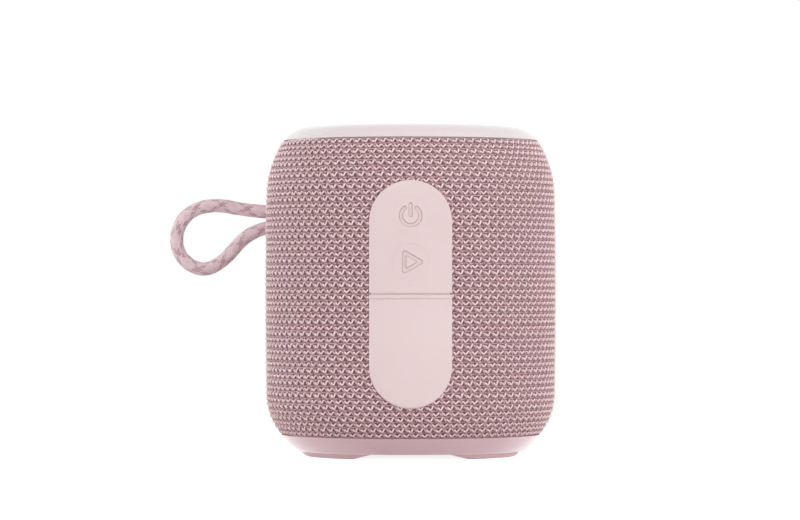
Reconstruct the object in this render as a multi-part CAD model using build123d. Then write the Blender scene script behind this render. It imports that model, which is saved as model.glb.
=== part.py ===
from build123d import *
import os
from math import asin, cos, radians, sin, sqrt, tan

# Shower speaker: an upright drum in a knitted sleeve, with a raised control panel down its
# front, a hanging cord on its left and a bass radiator that fires down between its two feet.
# Millimetres. +Z is up, the panel faces -Y, the cord leaves towards -X, and the origin is the
# middle of the plane that the feet stand on.

# ---- Driving dimensions: the drum ----
BODY_R = 45.0  # widest radius of the sleeve
BARREL_R = 1700.0  # slight belly of the drum's side
BARREL_MID = 49.5  # height of the widest point
BARREL_HALF = 30.5  # the belly runs this far up and down from there
TOP_ARC_R = 33.2  # shoulder above the belly
TOP_ARC_TURN = 32.0  # degrees from level at which the shoulder ends under the cap
LOW_ARC_R = 20.0
LOW_ARC_TURN = 39.4
SLEEVE_T = 1.1
HOUSING_T = 2.2
SKIN_GAP = 0.1  # between the sleeve and the housing under it
HOUSING_Z = (8.5, 95.3)
TOP_COLLAR_R = 39.2  # the collars thicken the housing's ends, inside its wall
LOW_COLLAR_R = 40.1
COLLAR_LAP = 0.5  # the collars reach this far past the plugs

# ---- Top cap ----
CAP_TOP = 101.2
CAP_FLAT_R = 31.0
CAP_SHOULDER = (35.6, 100.15)
CAP_RIM = (39.3, 97.2)
CAP_T = 2.0
CAP_BORE_R = 36.6  # collar of the housing that the cap plugs into
CAP_PLUG_Z = 91.5
CAP_FIT = 0.2
CAP_STEP = 2.0  # the cap's ledge stands this far out from its plug
PLUG_T = 2.2
PLUG_CHAMFER = 1.0  # inside corners of the cap's and the base's hollows

# ---- Base and feet ----
BASE_RIM = (39.8, 6.45)
BASE_MID = (37.85, 4.25)
BASE_UNDER = (35.0, 1.6)
BASE_FLOOR_T = 2.0
BASE_BORE_R = 37.3
BASE_PLUG_Z = 12.5
BASE_FIT = 0.15
BASE_STEP_R = 39.0
FOOT_SPARE = 2.0  # the base is cleared this far outside the feet
FOOT_H = 2.4
FOOT_OUT_R = 35.0
FOOT_IN_R = 27.0
FOOT_FACE_R = 32.3
NOTCH_HALF_LOW = 17.5  # half width of the vent between the feet, at the floor
NOTCH_HALF_HIGH = 9.1  # and at the top of the feet

# ---- Seals ----
SEAL_DEPTH = 1.0
SEAL_H = 1.3
SEAL_FIT = 0.05
SEAL_RISE = 1.3  # of the base's seal, above the housing's lower end

# ---- Control panel ----
PANEL_W = 24.4
PANEL_H = 68.2
PANEL_Z = 49.9  # middle of the panel
PANEL_PROUD = 0.5
PAD_T = 1.65
PANEL_GAP = 0.1
PANEL_HOLE = 35.0  # the housing is open this far in behind the panel
FRAME_T = 2.55
FRAME_GAP = 0.05
FRAME_FIT = 0.15
PAD_Z = 50.2  # the button pad stands above this line
COVER_TOP = 49.85
LIP_Z = 48.7  # the cover's pull lip is the strip above this line
LIP_STEP = 0.2
HINGE_Y = -43.8
HINGE_Z = 19.5
KNUCKLE_R = 1.1
KNUCKLE_HALF = 4.0
EAR_R = 0.95
EAR_OUT = 6.2
KNUCKLE_GAP = 0.1
KNUCKLE_CLEAR = 0.25
PIN_R = 0.5
PIN_PLAY = 0.05  # in the knuckle, which turns on the pin
PIN_FIT = 0.02  # in the ears, which hold it
COVER_FOOT = 20.9  # lower edge of the cover beside its knuckle
TAIL_TOP = 17.4
WELL_Z = (24.0, 46.0)
WELL_HALF = 7.5
WELL_T = 1.2
WELL_BACK = -36.0
PLUG_IN = -41.5
PLUG_FIT = 0.3
PLUG_FIT_TOP = 0.35  # the plug's upper end swings out through a little more
PLUG_WALL = 1.0
PLUG_LAP = 0.1  # the plug runs this far into the cover's skin

# ---- Keys and switches ----
POWER_Z = 73.4
PLAY_Z = 59.6
KEY_R = 5.5
KEY_GAP = 0.12
KEY_RECESS = 42.9
STEM_R = 1.6
STEM_END = -40.0
STEM_LAP = 0.4  # the stem starts this far up inside the cap of the key
KEY_CLEAR = 0.4
PLUNGER_R = 1.0
PLUNGER_END = -38.5
SWITCH_Y = (-39.3, -37.5)
SWITCH_HALF = 2.6
SWITCH_BORE_R = 1.08
BUTTON_BOARD_Y = (-37.5, -36.5)
BUTTON_BOARD_HALF = 8.5
BUTTON_BOARD_Z = (52.5, 81.0)
BUTTON_SCREWS = [(0, 66.5), (0, 54.3)]
BUTTON_POST_R = 2.0
BUTTON_SCREW_R = 0.9
BUTTON_HEAD = (1.7, 1.1)  # radius and height of a screw's head
BUTTON_SCREW_TIP = -40.0
SCREW_CLEAR = 0.15  # round a screw, in the board that it holds
THREAD_FIT = 0.05  # round a screw, in the post that it bites into
TIP_SPARE = 0.2  # a bore goes this much deeper than its screw
ICON_DEPTH = 0.25
ICON_STROKE = 1.05
RING_R = 3.4
BAR_LEN = 4.2
BAR_TOP = 3.8
TRIANGLE_SIDE = 7.6
TRIANGLE_CORNER_R = 0.7
TRIANGLE_X = -0.2  # a little to the left, which brings its outline nearer the middle of the key

# ---- Driver, which faces +Y ----
DRIVER_Z = 54.0
FACE_Y = 30.5
DRIVER_R = 26.0
COIL_IN, COIL_OUT = 9.55, 10.3
BAFFLE_Y = (25.4, 27.9)
BAFFLE_Z = (20.0, 87.0)
BAFFLE_RIB_X = 27.6
BAFFLE_HOLE_R = 23.4
DRIVER_SCREW_R = 24.3  # the four screws lie on this circle
DRIVER_HOLE_R = 0.9
DRIVER_SHANK_R = 0.8
DRIVER_HEAD = (1.4, 0.9)
RIM_T = 0.6  # the rubber and the cone's edge lie in this thickness behind the face
FLANGE_BACK = 2.0  # depths behind the face
SPIDER_BACK = 13.0
POLE_BACK = 14.4
MAGNET_FRONT = 17.5
MAGNET_BACK = 22.5
YOKE_BACK = 25.0
COIL_FRONT = 8.5
COIL_BACK = 20.5
WINDOW_BACK = 7.5
WINDOW_R = 3.6
MAGNET_R = 8.6
POLE_R = 9.2
YOKE_BORE_R = 10.7
YOKE_R = 12.6
SPIDER_R = 14.0
CONE_R = 19.6
DOME_R = 10.1
DOME_T = 0.4
DRIVER_ROLL_R = 21.0
SLOT_COUNT = 9
SLOT_PITCH = 5.0
SLOT_W = 2.6
SLOT_Z = (34.0, 74.0)
SLOT_DEPTH = 33.0

# ---- Bass radiator, which faces down ----
RADIATOR_R = 16.0
ROLL_MID = 18.4
ROLL_R = 2.2
SKIN_T = 0.5
RADIATOR_FLANGE = (20.5, 26.0)
RADIATOR_Z = 4.2
RUBBER_T = 0.6
LIP_LAP = 1.5  # the plate rests on this width of rubber
DISC_T = 1.2
WEIGHT_R = 8.0
WEIGHT_T = 1.6
WEIGHT_CHAMFER = 0.4
CLAMP_T = 1.8
RADIATOR_SCREW_RING = 24.0
RADIATOR_SCREW_TIP = 2.4
RADIATOR_SCREW_R = 0.8
RADIATOR_HEAD = (1.5, 1.0)
RADIATOR_HOLE_R = 0.85

# ---- Electronics ----
PLATE_Y = (-25.8, -24.0)
PLATE_Z = (18.0, 84.0)
PLATE_RIB_X = 29.5
PLATE_GAP = 0.25
CELL_R = 9.2
CELL_CHAMFER = 0.8
CRADLE_HALF = 11.0
CELL_Y = -13.1
CELL_Z = (20.0, 85.2)
BOARD_Y = (-28.8, -27.2)
BOARD_HALF = 22.0
BOARD_Z = (22.0, 80.0)
BOARD_HOLE_X = 19.0
BOARD_HOLE_Z = (25.5, 76.5)
POST_R = 2.2
POST_BORE_R = 1.03
BOARD_HOLE_R = 1.1
BOARD_SCREW_R = 1.0
BOARD_HEAD = (1.9, 1.2)
# Amplifier, charger, memory and two inductors: x range, z range, height.
CHIPS = [
    ((8, 16), (52, 60), 1.1),
    ((9, 14), (64, 69), 0.9),
    ((-18, -12), (30, 36), 0.9),
    ((12, 18), (40, 46), 2.6),
    ((12, 18), (31, 37), 2.6),
]
RIB_T = 1.5
RIB_GAP = 0.1
RIB_LAP = 0.4  # the ribs run this far into the housing's wall

# ---- Hanging cord ----
CORD_D = 4.2
CORD_Y = 7.0
CORD_Z = (70.3, 75.1)
CORD_END_X = -35.0
ANCHOR_Z = (65.2, 80.2)
ANCHOR_X = -32.5
ANCHOR_HALF = 4.5
GRUB_X = -37.5
GRUB_R = 1.0
SLEEVE_SLOT = (7.6, 12.6)  # width and height of the slot in the wall
EYELET_SLOT = (7.4, 12.4)
EYELET_BORE = (4.7, 9.5)
# The route leaves the upper bore, goes round one open loop and comes back to the lower bore.
CORD_ROUTE = [
    (-35.0, 7.0, 75.1),
    (-42.0, 7.0, 75.1),
    (-51.6, 6.9, 76.0),
    (-61.4, 6.6, 77.9),
    (-69.6, 6.2, 75.2),
    (-73.3, 5.9, 67.9),
    (-71.3, 5.8, 60.5),
    (-64.3, 5.9, 56.7),
    (-57.6, 6.3, 60.4),
    (-52.0, 6.7, 67.4),
    (-45.5, 6.9, 70.6),
    (-39.5, 7.0, 70.3),
    (-35.0, 7.0, 70.3),
]
SPEAKER_LEAD = [
    (9.0, -30.0, 76.2),
    (9.0, -30.0, 83.5),
    (12.5, -24.8, 88.2),
    (14.0, -15.0, 90.0),
    (11.0, -3.0, 89.4),
    (5.0, 8.0, 85.5),
    (0.0, 15.2, 80.2),
    (0.0, 15.2, 75.0),
]
BATTERY_LEAD = [
    (0.0, -13.1, 85.2),
    (0.0, -13.1, 89.5),
    (-4.0, -18.0, 92.5),
    (-8.0, -25.0, 90.5),
    (-9.0, -30.0, 84.0),
    (-9.0, -30.0, 76.2),
]
LEAD_D = 1.6

LEAN = asin(BARREL_HALF / BARREL_R)
FAR = 60.0  # reaches past every face of the drum


# ---- Shared shapes ----
def turned(points):
    """A solid turned about the drum's axis from an (r, z) outline."""
    return revolve(Plane.XZ * make_face(Polyline(*points, close=True)), Axis.Z)


def turned_face(edges):
    """The same from edges, where part of the outline is an arc."""
    return revolve(Plane.XZ * make_face(Curve() + edges), Axis.Z)


def turned_on_driver(points):
    """A solid turned about the driver's axis from an (r, y) outline."""
    outline = Plane.XY.offset(DRIVER_Z) * make_face(Polyline(*points, close=True))
    return revolve(outline, Axis((0, 0, DRIVER_Z), (0, 1, 0)))


def ring(r_in, r_out, z_low, z_high):
    """A plain ring about the drum's axis."""
    return turned([(r_in, z_low), (r_out, z_low), (r_out, z_high), (r_in, z_high)])


def driver_ring(r_in, r_out, y_low, y_high):
    """A plain ring about the driver's axis."""
    return turned_on_driver([(r_in, y_low), (r_out, y_low), (r_out, y_high), (r_in, y_high)])


def block(x, y, z):
    """A box from its (low, high) pairs."""
    size = [pair[1] - pair[0] for pair in (x, y, z)]
    middle = [(pair[1] + pair[0]) / 2 for pair in (x, y, z)]
    return Pos(*middle) * Box(*size)


def rod(radius, start, end):
    """A round rod between two points on a line along an axis."""
    line = Vector(*end) - Vector(*start)
    return Plane(origin=start, z_dir=line) * Cylinder(
        radius, line.length, align=(Align.CENTER, Align.CENTER, Align.MIN)
    )


def side_curve(inset):
    """The drum's side, from its low end to its high end, drawn inset from the sleeve's face."""
    barrel = Vector(BODY_R - BARREL_R, BARREL_MID)
    high_way = Vector(cos(LEAN), sin(LEAN))
    low_way = Vector(cos(LEAN), -sin(LEAN))
    high_centre = barrel + high_way * (BARREL_R - TOP_ARC_R)
    low_centre = barrel + low_way * (BARREL_R - LOW_ARC_R)
    high = barrel + high_way * (BARREL_R - inset)
    low = barrel + low_way * (BARREL_R - inset)

    def arc_point(centre, radius, angle):
        return centre + Vector(cos(radians(angle)), sin(radians(angle))) * (radius - inset)

    low_end = arc_point(low_centre, LOW_ARC_R, -LOW_ARC_TURN)
    low_mid = arc_point(low_centre, LOW_ARC_R, -LOW_ARC_TURN / 2)
    high_mid = arc_point(high_centre, TOP_ARC_R, TOP_ARC_TURN / 2)
    high_end = arc_point(high_centre, TOP_ARC_R, TOP_ARC_TURN)
    edges = [
        ThreePointArc(low_end, low_mid, low),
        ThreePointArc(low, (BODY_R - inset, BARREL_MID), high),
        ThreePointArc(high, high_mid, high_end),
    ]
    return edges, low_end, high_end


def wall(outer, inner):
    """The part of the drum's wall between two insets from the sleeve's outer face."""
    outer_edges, outer_low, outer_high = side_curve(outer)
    inner_edges, inner_low, inner_high = side_curve(inner)
    ends = [Line(outer_low, inner_low), Line(outer_high, inner_high)]
    return turned_face(outer_edges + inner_edges + ends)


def core(inset):
    """The whole drum inside one inset."""
    edges, low_end, high_end = side_curve(inset)
    foot = (0, low_end.Y)
    head = (0, high_end.Y)
    return turned_face(edges + [Line(foot, low_end), Line(foot, head), Line(head, high_end)])


def front_prism(sketch, near, far=FAR):
    """An (x, z) sketch pushed through the front wall, from one depth to another."""
    return extrude(Plane.XZ.offset(near) * sketch, amount=far - near)


def stadium(clearance):
    """The panel's outline, with straight sides and round ends."""
    outline = SlotOverall(PANEL_H + 2 * clearance, PANEL_W + 2 * clearance, rotation=90)
    return Pos(0, PANEL_Z) * outline


def slab(z_low, z_high):
    """Everything between two heights."""
    return block((-FAR, FAR), (-FAR, FAR), (z_low, z_high))


def panel_skin(z_low, z_high):
    """A stretch of the panel's soft outer layer."""
    layer = wall(-PANEL_PROUD, PAD_T - PANEL_PROUD) & front_prism(stadium(0), 0)
    return layer & slab(z_low, z_high)


def cord_slot(width, height):
    """A slot with round ends through the left wall, round both strands of the cord."""
    outline = SlotOverall(height, width, rotation=90)
    left = Plane(origin=(0, CORD_Y, sum(CORD_Z) / 2), x_dir=(0, 1, 0), z_dir=(-1, 0, 0))
    return extrude(left.offset(FOOT_IN_R) * outline, amount=FAR - FOOT_IN_R)


def corner_radii(route):
    """The largest arc that each corner of a cord's route has room for."""
    runs = [Vector(*b) - Vector(*a) for a, b in zip(route, route[1:])]
    radii = []
    for before, after in zip(runs, runs[1:]):
        turn = radians(before.get_angle(after))
        radii.append(0.45 * min(before.length, after.length) / tan(turn / 2))
    return radii


def tube(route, diameter, name):
    """A cord's tube: straight runs joined by tangent arcs."""
    radii = corner_radii(route)
    path = FilletPolyline(*route, radius=radii)
    start = Plane(origin=path @ 0, z_dir=path % 0)
    solid = sweep(start * Circle(diameter / 2), path=path)
    expected = path.length * (start * Circle(diameter / 2)).area
    print(name, "radii", [round(r, 1) for r in radii], "length", round(path.length, 1))
    print(name, "volume", round(solid.volume, 1), "section x length", round(expected, 1))
    return solid


# ---- Outer shells ----
def top_cap():
    groove = (CAP_PLUG_Z + SEAL_DEPTH, CAP_PLUG_Z + SEAL_DEPTH + SEAL_H)
    plug_r = CAP_BORE_R - CAP_FIT
    hollow_r = plug_r - PLUG_T
    under = CAP_TOP - CAP_T
    ledge = HOUSING_Z[1]
    step_r = plug_r + CAP_STEP
    points = [
        CAP_RIM,
        (step_r, CAP_RIM[1]),
        (step_r, ledge),
        (plug_r, ledge),
        (plug_r, groove[1]),
        (plug_r - SEAL_DEPTH, groove[1]),
        (plug_r - SEAL_DEPTH, groove[0]),
        (plug_r, groove[0]),
        (plug_r, CAP_PLUG_Z),
        (hollow_r, CAP_PLUG_Z),
        (hollow_r, under - PLUG_CHAMFER),
        (hollow_r - PLUG_CHAMFER, under),
        (0, under),
        (0, CAP_TOP),
        (CAP_FLAT_R, CAP_TOP),
    ]
    edges = [Line(a, b) for a, b in zip(points, points[1:])]
    edges.append(TangentArc((CAP_FLAT_R, CAP_TOP), CAP_SHOULDER, tangent=(1, 0)))
    edges.append(Line(CAP_SHOULDER, CAP_RIM))
    return turned_face(edges)


def cap_seal():
    low = CAP_PLUG_Z + SEAL_DEPTH + SEAL_FIT
    inner = CAP_BORE_R - CAP_FIT - SEAL_DEPTH
    return ring(inner, CAP_BORE_R - SEAL_FIT, low, low + SEAL_H - 2 * SEAL_FIT)


def fabric_sleeve():
    sleeve = wall(0, SLEEVE_T)
    sleeve -= front_prism(stadium(PANEL_GAP), 0)
    return sleeve - cord_slot(*SLEEVE_SLOT)


def rib_pair(y_low, y_high, z_range, x_in):
    """Ribs inside the housing on both faces of a plate, left and right."""
    ribs = []
    below = (y_low - RIB_T - RIB_GAP, y_low - RIB_GAP)
    above = (y_high + RIB_GAP, y_high + RIB_T + RIB_GAP)
    for y0, y1 in (below, above):
        ribs.append(block((x_in, FAR), (y0, y1), z_range))
        ribs.append(block((-FAR, -x_in), (y0, y1), z_range))
    return ribs


def housing():
    """Rigid tube under the sleeve, slotted at the back in front of the driver."""
    outer = SLEEVE_T + SKIN_GAP
    inner = outer + HOUSING_T
    shell = wall(outer, inner) & slab(*HOUSING_Z)
    top_collar = ring(CAP_BORE_R, TOP_COLLAR_R, CAP_PLUG_Z - COLLAR_LAP, HOUSING_Z[1])
    low_collar = ring(BASE_BORE_R, LOW_COLLAR_R, HOUSING_Z[0], BASE_PLUG_Z + COLLAR_LAP)
    ribs = rib_pair(*PLATE_Y, PLATE_Z, PLATE_RIB_X)
    ribs += rib_pair(*BAFFLE_Y, BAFFLE_Z, BAFFLE_RIB_X)
    inside = core(inner - RIB_LAP)
    for rib in ribs:
        shell += rib & inside
    shell += top_collar
    shell += low_collar
    shell -= front_prism(stadium(0), PANEL_HOLE)
    shell -= cord_slot(*SLEEVE_SLOT)
    for index in range(SLOT_COUNT):
        x = (index - (SLOT_COUNT - 1) / 2) * SLOT_PITCH
        slot = Pos(x, sum(SLOT_Z) / 2) * SlotOverall(SLOT_Z[1] - SLOT_Z[0], SLOT_W, rotation=90)
        shell -= extrude(Plane.XZ.offset(-SLOT_DEPTH) * slot, amount=SLOT_DEPTH - FAR)
    return shell


# ---- Base ----
def foot_zone(outline):
    """Two arcs of a turned outline, left and right of the vents at front and back."""
    notch_outline = [
        (-NOTCH_HALF_LOW, 0),
        (NOTCH_HALF_LOW, 0),
        (NOTCH_HALF_HIGH, FOOT_H),
        (-NOTCH_HALF_HIGH, FOOT_H),
    ]
    notch = extrude(Plane.XZ * make_face(Polyline(*notch_outline, close=True)), FAR, both=True)
    return turned(outline) - notch


def base_shell():
    groove = (HOUSING_Z[0] + SEAL_RISE, HOUSING_Z[0] + SEAL_RISE + SEAL_H)
    plug_r = BASE_BORE_R - BASE_FIT
    hollow_r = plug_r - PLUG_T
    floor_top = BASE_UNDER[1] + BASE_FLOOR_T
    points = [
        BASE_UNDER,
        (RADIATOR_FLANGE[0], BASE_UNDER[1]),
        (RADIATOR_FLANGE[0], floor_top),
        (hollow_r - PLUG_CHAMFER, floor_top),
        (hollow_r, floor_top + PLUG_CHAMFER),
        (hollow_r, BASE_PLUG_Z),
        (plug_r, BASE_PLUG_Z),
        (plug_r, groove[1]),
        (plug_r - SEAL_DEPTH, groove[1]),
        (plug_r - SEAL_DEPTH, groove[0]),
        (plug_r, groove[0]),
        (plug_r, HOUSING_Z[0]),
        (BASE_STEP_R, HOUSING_Z[0]),
        (BASE_STEP_R, BASE_RIM[1]),
        BASE_RIM,
    ]
    edges = [Line(a, b) for a, b in zip(points, points[1:])]
    edges.append(ThreePointArc(BASE_RIM, BASE_MID, BASE_UNDER))
    shell = turned_face(edges)
    out_r = FOOT_OUT_R + FOOT_SPARE
    shell -= foot_zone([(FOOT_IN_R, 0), (out_r, 0), (out_r, FOOT_H), (FOOT_IN_R, FOOT_H)])
    return shell - radiator_holes()


def base_seal():
    low = HOUSING_Z[0] + SEAL_RISE + SEAL_FIT
    inner = BASE_BORE_R - BASE_FIT - SEAL_DEPTH
    return ring(inner, BASE_BORE_R - SEAL_FIT, low, low + SEAL_H - 2 * SEAL_FIT)


def foot(side):
    """One rubber foot, an arc with a sloping outer face. side is -1 left, 1 right."""
    outline = [(FOOT_IN_R, 0), (FOOT_FACE_R, 0), (FOOT_OUT_R, FOOT_H), (FOOT_IN_R, FOOT_H)]
    both = foot_zone(outline)
    half = block(sorted((0, side * FAR)), (-FAR, FAR), (0, FOOT_H))
    return both & half


# ---- Bass radiator ----
def corner_spots(reach):
    """Four points on a circle, on its diagonals."""
    return [(reach * cos(radians(a)), reach * sin(radians(a))) for a in (45, 135, 225, 315)]


def radiator_holes():
    low = RADIATOR_SCREW_TIP - 0.1
    high = RADIATOR_Z + CLAMP_T + 0.2
    spots = corner_spots(RADIATOR_SCREW_RING)
    return Part() + [rod(RADIATOR_HOLE_R, (x, y, low), (x, y, high)) for x, y in spots]


def radiator_surround():
    """Rubber half roll, with a flange clamped to the base and a lip under the plate."""
    low = RADIATOR_Z - RUBBER_T
    mid = RADIATOR_Z - RUBBER_T / 2
    r_out, r_in = ROLL_R + SKIN_T / 2, ROLL_R - SKIN_T / 2
    flange_out = RADIATOR_FLANGE[1]
    lip_in = RADIATOR_R - LIP_LAP
    outer_start, outer_end = ROLL_MID + r_out, ROLL_MID - r_out
    inner_start, inner_end = ROLL_MID + r_in, ROLL_MID - r_in
    edges = [
        Line((inner_start, low), (flange_out, low)),
        Line((flange_out, low), (flange_out, RADIATOR_Z)),
        Line((flange_out, RADIATOR_Z), (outer_start, RADIATOR_Z)),
        ThreePointArc((outer_start, RADIATOR_Z), (ROLL_MID, mid + r_out), (outer_end, RADIATOR_Z)),
        Line((outer_end, RADIATOR_Z), (lip_in, RADIATOR_Z)),
        Line((lip_in, RADIATOR_Z), (lip_in, low)),
        Line((lip_in, low), (inner_end, low)),
        ThreePointArc((inner_end, low), (ROLL_MID, mid + r_in), (inner_start, low)),
    ]
    return turned_face(edges) - radiator_holes()


def radiator_plate():
    plate_r = ROLL_MID - ROLL_R - SKIN_T
    top = RADIATOR_Z + DISC_T
    return turned([(0, RADIATOR_Z), (plate_r, RADIATOR_Z), (plate_r - DISC_T / 2, top), (0, top)])


def radiator_weight():
    low = RADIATOR_Z + DISC_T
    top = low + WEIGHT_T
    edge = WEIGHT_CHAMFER
    outline = [(0, low), (WEIGHT_R, low), (WEIGHT_R, top - edge), (WEIGHT_R - edge, top), (0, top)]
    return turned(outline)


def radiator_clamp():
    inner = ROLL_MID + ROLL_R + SKIN_T
    return ring(inner, RADIATOR_FLANGE[1], RADIATOR_Z, RADIATOR_Z + CLAMP_T) - radiator_holes()


def radiator_screws():
    top = RADIATOR_Z + CLAMP_T
    head_r, head_h = RADIATOR_HEAD
    screws = []
    for x, y in corner_spots(RADIATOR_SCREW_RING):
        shank = rod(RADIATOR_SCREW_R, (x, y, RADIATOR_SCREW_TIP), (x, y, top))
        screws.append(shank + rod(head_r, (x, y, top), (x, y, top + head_h)))
    return screws


# ---- Control panel ----
def key_prism(height, radius, near, far=FAR):
    """A round prism through the panel at a key's height."""
    return front_prism(Pos(0, height) * Circle(radius), near, far)


def panel_frame():
    """Rigid frame behind the pad and the cover, with the keys' holes and the port's mouth."""
    front = SLEEVE_T + SKIN_GAP + FRAME_GAP
    frame = wall(front, front + FRAME_T) & front_prism(stadium(-FRAME_FIT), 0)
    for height in (POWER_Z, PLAY_Z):
        frame -= key_prism(height, KEY_R + KEY_CLEAR, KEY_RECESS)
        frame -= key_prism(height, STEM_R + KEY_CLEAR, 0)
    mouth = block((-WELL_HALF, WELL_HALF), (-FAR, 0), WELL_Z)
    frame -= mouth
    reach = KNUCKLE_HALF + KNUCKLE_GAP
    frame -= rod(KNUCKLE_R + KNUCKLE_CLEAR, (-reach, HINGE_Y, HINGE_Z), (reach, HINGE_Y, HINGE_Z))
    for side in (-1, 1):
        near = (side * reach, HINGE_Y, HINGE_Z)
        far = (side * EAR_OUT, HINGE_Y, HINGE_Z)
        frame += rod(EAR_R, near, far)
    through = EAR_OUT + 1
    return frame - rod(PIN_R + PIN_FIT, (-through, HINGE_Y, HINGE_Z), (through, HINGE_Y, HINGE_Z))


def button_pad():
    pad = panel_skin(PAD_Z, PANEL_Z + PANEL_H)
    for height in (POWER_Z, PLAY_Z):
        pad -= key_prism(height, KEY_R + KEY_GAP, 0)
    return pad


def power_icon():
    """A broken ring with a bar through the break."""
    circle = Circle(RING_R) - Circle(RING_R - ICON_STROKE)
    gap = Pos(0, RING_R) * Rectangle(3 * ICON_STROKE, RING_R)
    bar_low = BAR_TOP - BAR_LEN
    bar = Pos(0, (BAR_TOP + bar_low) / 2) * Rectangle(ICON_STROKE, BAR_LEN)
    return Pos(0, POWER_Z) * (circle - gap + bar)


def play_icon():
    """A triangle that points right, drawn as an even outline."""
    side = TRIANGLE_SIDE
    whole = fillet(Triangle(a=side, b=side, c=side, rotation=-90).vertices(), TRIANGLE_CORNER_R)
    side -= 2 * sqrt(3) * ICON_STROKE
    island = Triangle(a=side, b=side, c=side, rotation=-90)
    return Pos(TRIANGLE_X, PLAY_Z) * (whole - island)


def key(height, icon):
    """A key's cap with its stem, and the icon sunk in its face."""
    cap = wall(-PANEL_PROUD, PAD_T - PANEL_PROUD) & key_prism(height, KEY_R, 0)
    sunk = wall(-FRAME_T, ICON_DEPTH - PANEL_PROUD) & front_prism(icon, 0)
    stem_start = -(BODY_R + PANEL_PROUD - PAD_T + STEM_LAP)
    stem = rod(STEM_R, (0, stem_start, height), (0, STEM_END, height))
    return cap - sunk + stem


def plunger(height):
    return rod(PLUNGER_R, (0, STEM_END, height), (0, PLUNGER_END, height))


def key_switch(height):
    """Body of a push switch, open at the front for its plunger."""
    half = (height - SWITCH_HALF, height + SWITCH_HALF)
    body = block((-SWITCH_HALF, SWITCH_HALF), SWITCH_Y, half)
    bore = rod(SWITCH_BORE_R, (0, SWITCH_Y[0] - 1, height), (0, SWITCH_Y[1] - 0.5, height))
    return body - bore


def button_board():
    half = (-BUTTON_BOARD_HALF, BUTTON_BOARD_HALF)
    board = block(half, BUTTON_BOARD_Y, BUTTON_BOARD_Z)
    for x, z in BUTTON_SCREWS:
        front = (x, BUTTON_BOARD_Y[0] - 1, z)
        board -= rod(BUTTON_SCREW_R + SCREW_CLEAR, front, (x, BUTTON_BOARD_Y[1] + 1, z))
    return board


def board_posts():
    """Posts that stand on the frame's back and carry the button board."""
    inside = core(SLEEVE_T + SKIN_GAP + FRAME_GAP + FRAME_T + 0.02)
    posts = []
    for x, z in BUTTON_SCREWS:
        post = rod(BUTTON_POST_R, (x, -FAR, z), (x, BUTTON_BOARD_Y[0], z)) & inside
        tip = (x, BUTTON_SCREW_TIP - TIP_SPARE, z)
        posts.append(post - rod(BUTTON_SCREW_R + THREAD_FIT, tip, (x, BUTTON_BOARD_Y[1], z)))
    return posts


def button_screws():
    screws = []
    back = BUTTON_BOARD_Y[1]
    head_r, head_h = BUTTON_HEAD
    for x, z in BUTTON_SCREWS:
        shank = rod(BUTTON_SCREW_R, (x, BUTTON_SCREW_TIP, z), (x, back, z))
        screws.append(shank + rod(head_r, (x, back, z), (x, back + head_h, z)))
    return screws


def port_cover():
    """Soft cover that swings down off the charging port, with its plug and knuckle."""
    cover = panel_skin(COVER_FOOT, COVER_TOP)
    strip = wall(-FRAME_T, LIP_STEP - PANEL_PROUD) & front_prism(stadium(1), 0)
    cover -= strip & slab(LIP_Z, COVER_TOP + 1)
    web = panel_skin(HINGE_Z, COVER_FOOT + 0.1)
    cover += web & slab(0, FAR) & block((-KNUCKLE_HALF, KNUCKLE_HALF), (-FAR, 0), (0, FAR))
    ends = [(side * KNUCKLE_HALF, HINGE_Y, HINGE_Z) for side in (-1, 1)]
    cover += rod(KNUCKLE_R, *ends)
    plug_half = WELL_HALF - PLUG_FIT
    plug_z = (WELL_Z[0] + PLUG_FIT, WELL_Z[1] - PLUG_FIT_TOP)
    plug = block((-plug_half, plug_half), (-FAR, PLUG_IN), plug_z)
    hollow_half = plug_half - PLUG_WALL
    hollow_z = (plug_z[0] + PLUG_WALL, plug_z[1] - PLUG_WALL)
    plug -= block((-hollow_half, hollow_half), (-FAR, 0), hollow_z)
    cover += plug & core(PAD_T - PANEL_PROUD - PLUG_LAP)
    return cover - rod(PIN_R + PIN_PLAY, (-EAR_OUT, HINGE_Y, HINGE_Z), (EAR_OUT, HINGE_Y, HINGE_Z))


def cover_tail():
    """Fixed root of the cover, bonded to the frame below the hinge."""
    return panel_skin(0, TAIL_TOP)


def hinge_pin():
    return rod(PIN_R, (-EAR_OUT, HINGE_Y, HINGE_Z), (EAR_OUT, HINGE_Y, HINGE_Z))


# ---- Charging port ----
PORT_Z = 40.0
PORT_W, PORT_H = 8.94, 3.26
PORT_BACK = -29.6
PORT_WALL = 0.33
PORT_LID_T = 0.4
TONGUE_HALF = 3.3
TONGUE_T = 0.7
PORT_BOARD_HALF = 7.0
PORT_BOARD_T = 1.0


def port_shape(grow):
    """The round-ended outline of the socket."""
    return Pos(0, PORT_Z) * SlotOverall(PORT_W + 2 * grow, PORT_H + 2 * grow)


def port_well():
    """Tray behind the frame's mouth, with the socket in its back wall."""
    out_half = WELL_HALF + WELL_T
    out_z = (WELL_Z[0] - WELL_T, WELL_Z[1] + WELL_T)
    tray = block((-out_half, out_half), (-FAR, WELL_BACK + WELL_T), out_z)
    tray -= block((-WELL_HALF, WELL_HALF), (-FAR, WELL_BACK), WELL_Z)
    tray -= front_prism(port_shape(0.05), 0)
    return tray & core(SLEEVE_T + SKIN_GAP + FRAME_GAP + FRAME_T + 0.05)


def port_shell():
    """Metal shell of the socket."""
    shell = front_prism(port_shape(0), -PORT_BACK, -WELL_BACK)
    hollow = front_prism(port_shape(-PORT_WALL), -PORT_BACK - 1, -WELL_BACK + 1)
    back = front_prism(port_shape(0), -PORT_BACK, -PORT_BACK + PORT_LID_T)
    return shell - hollow + back


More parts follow.
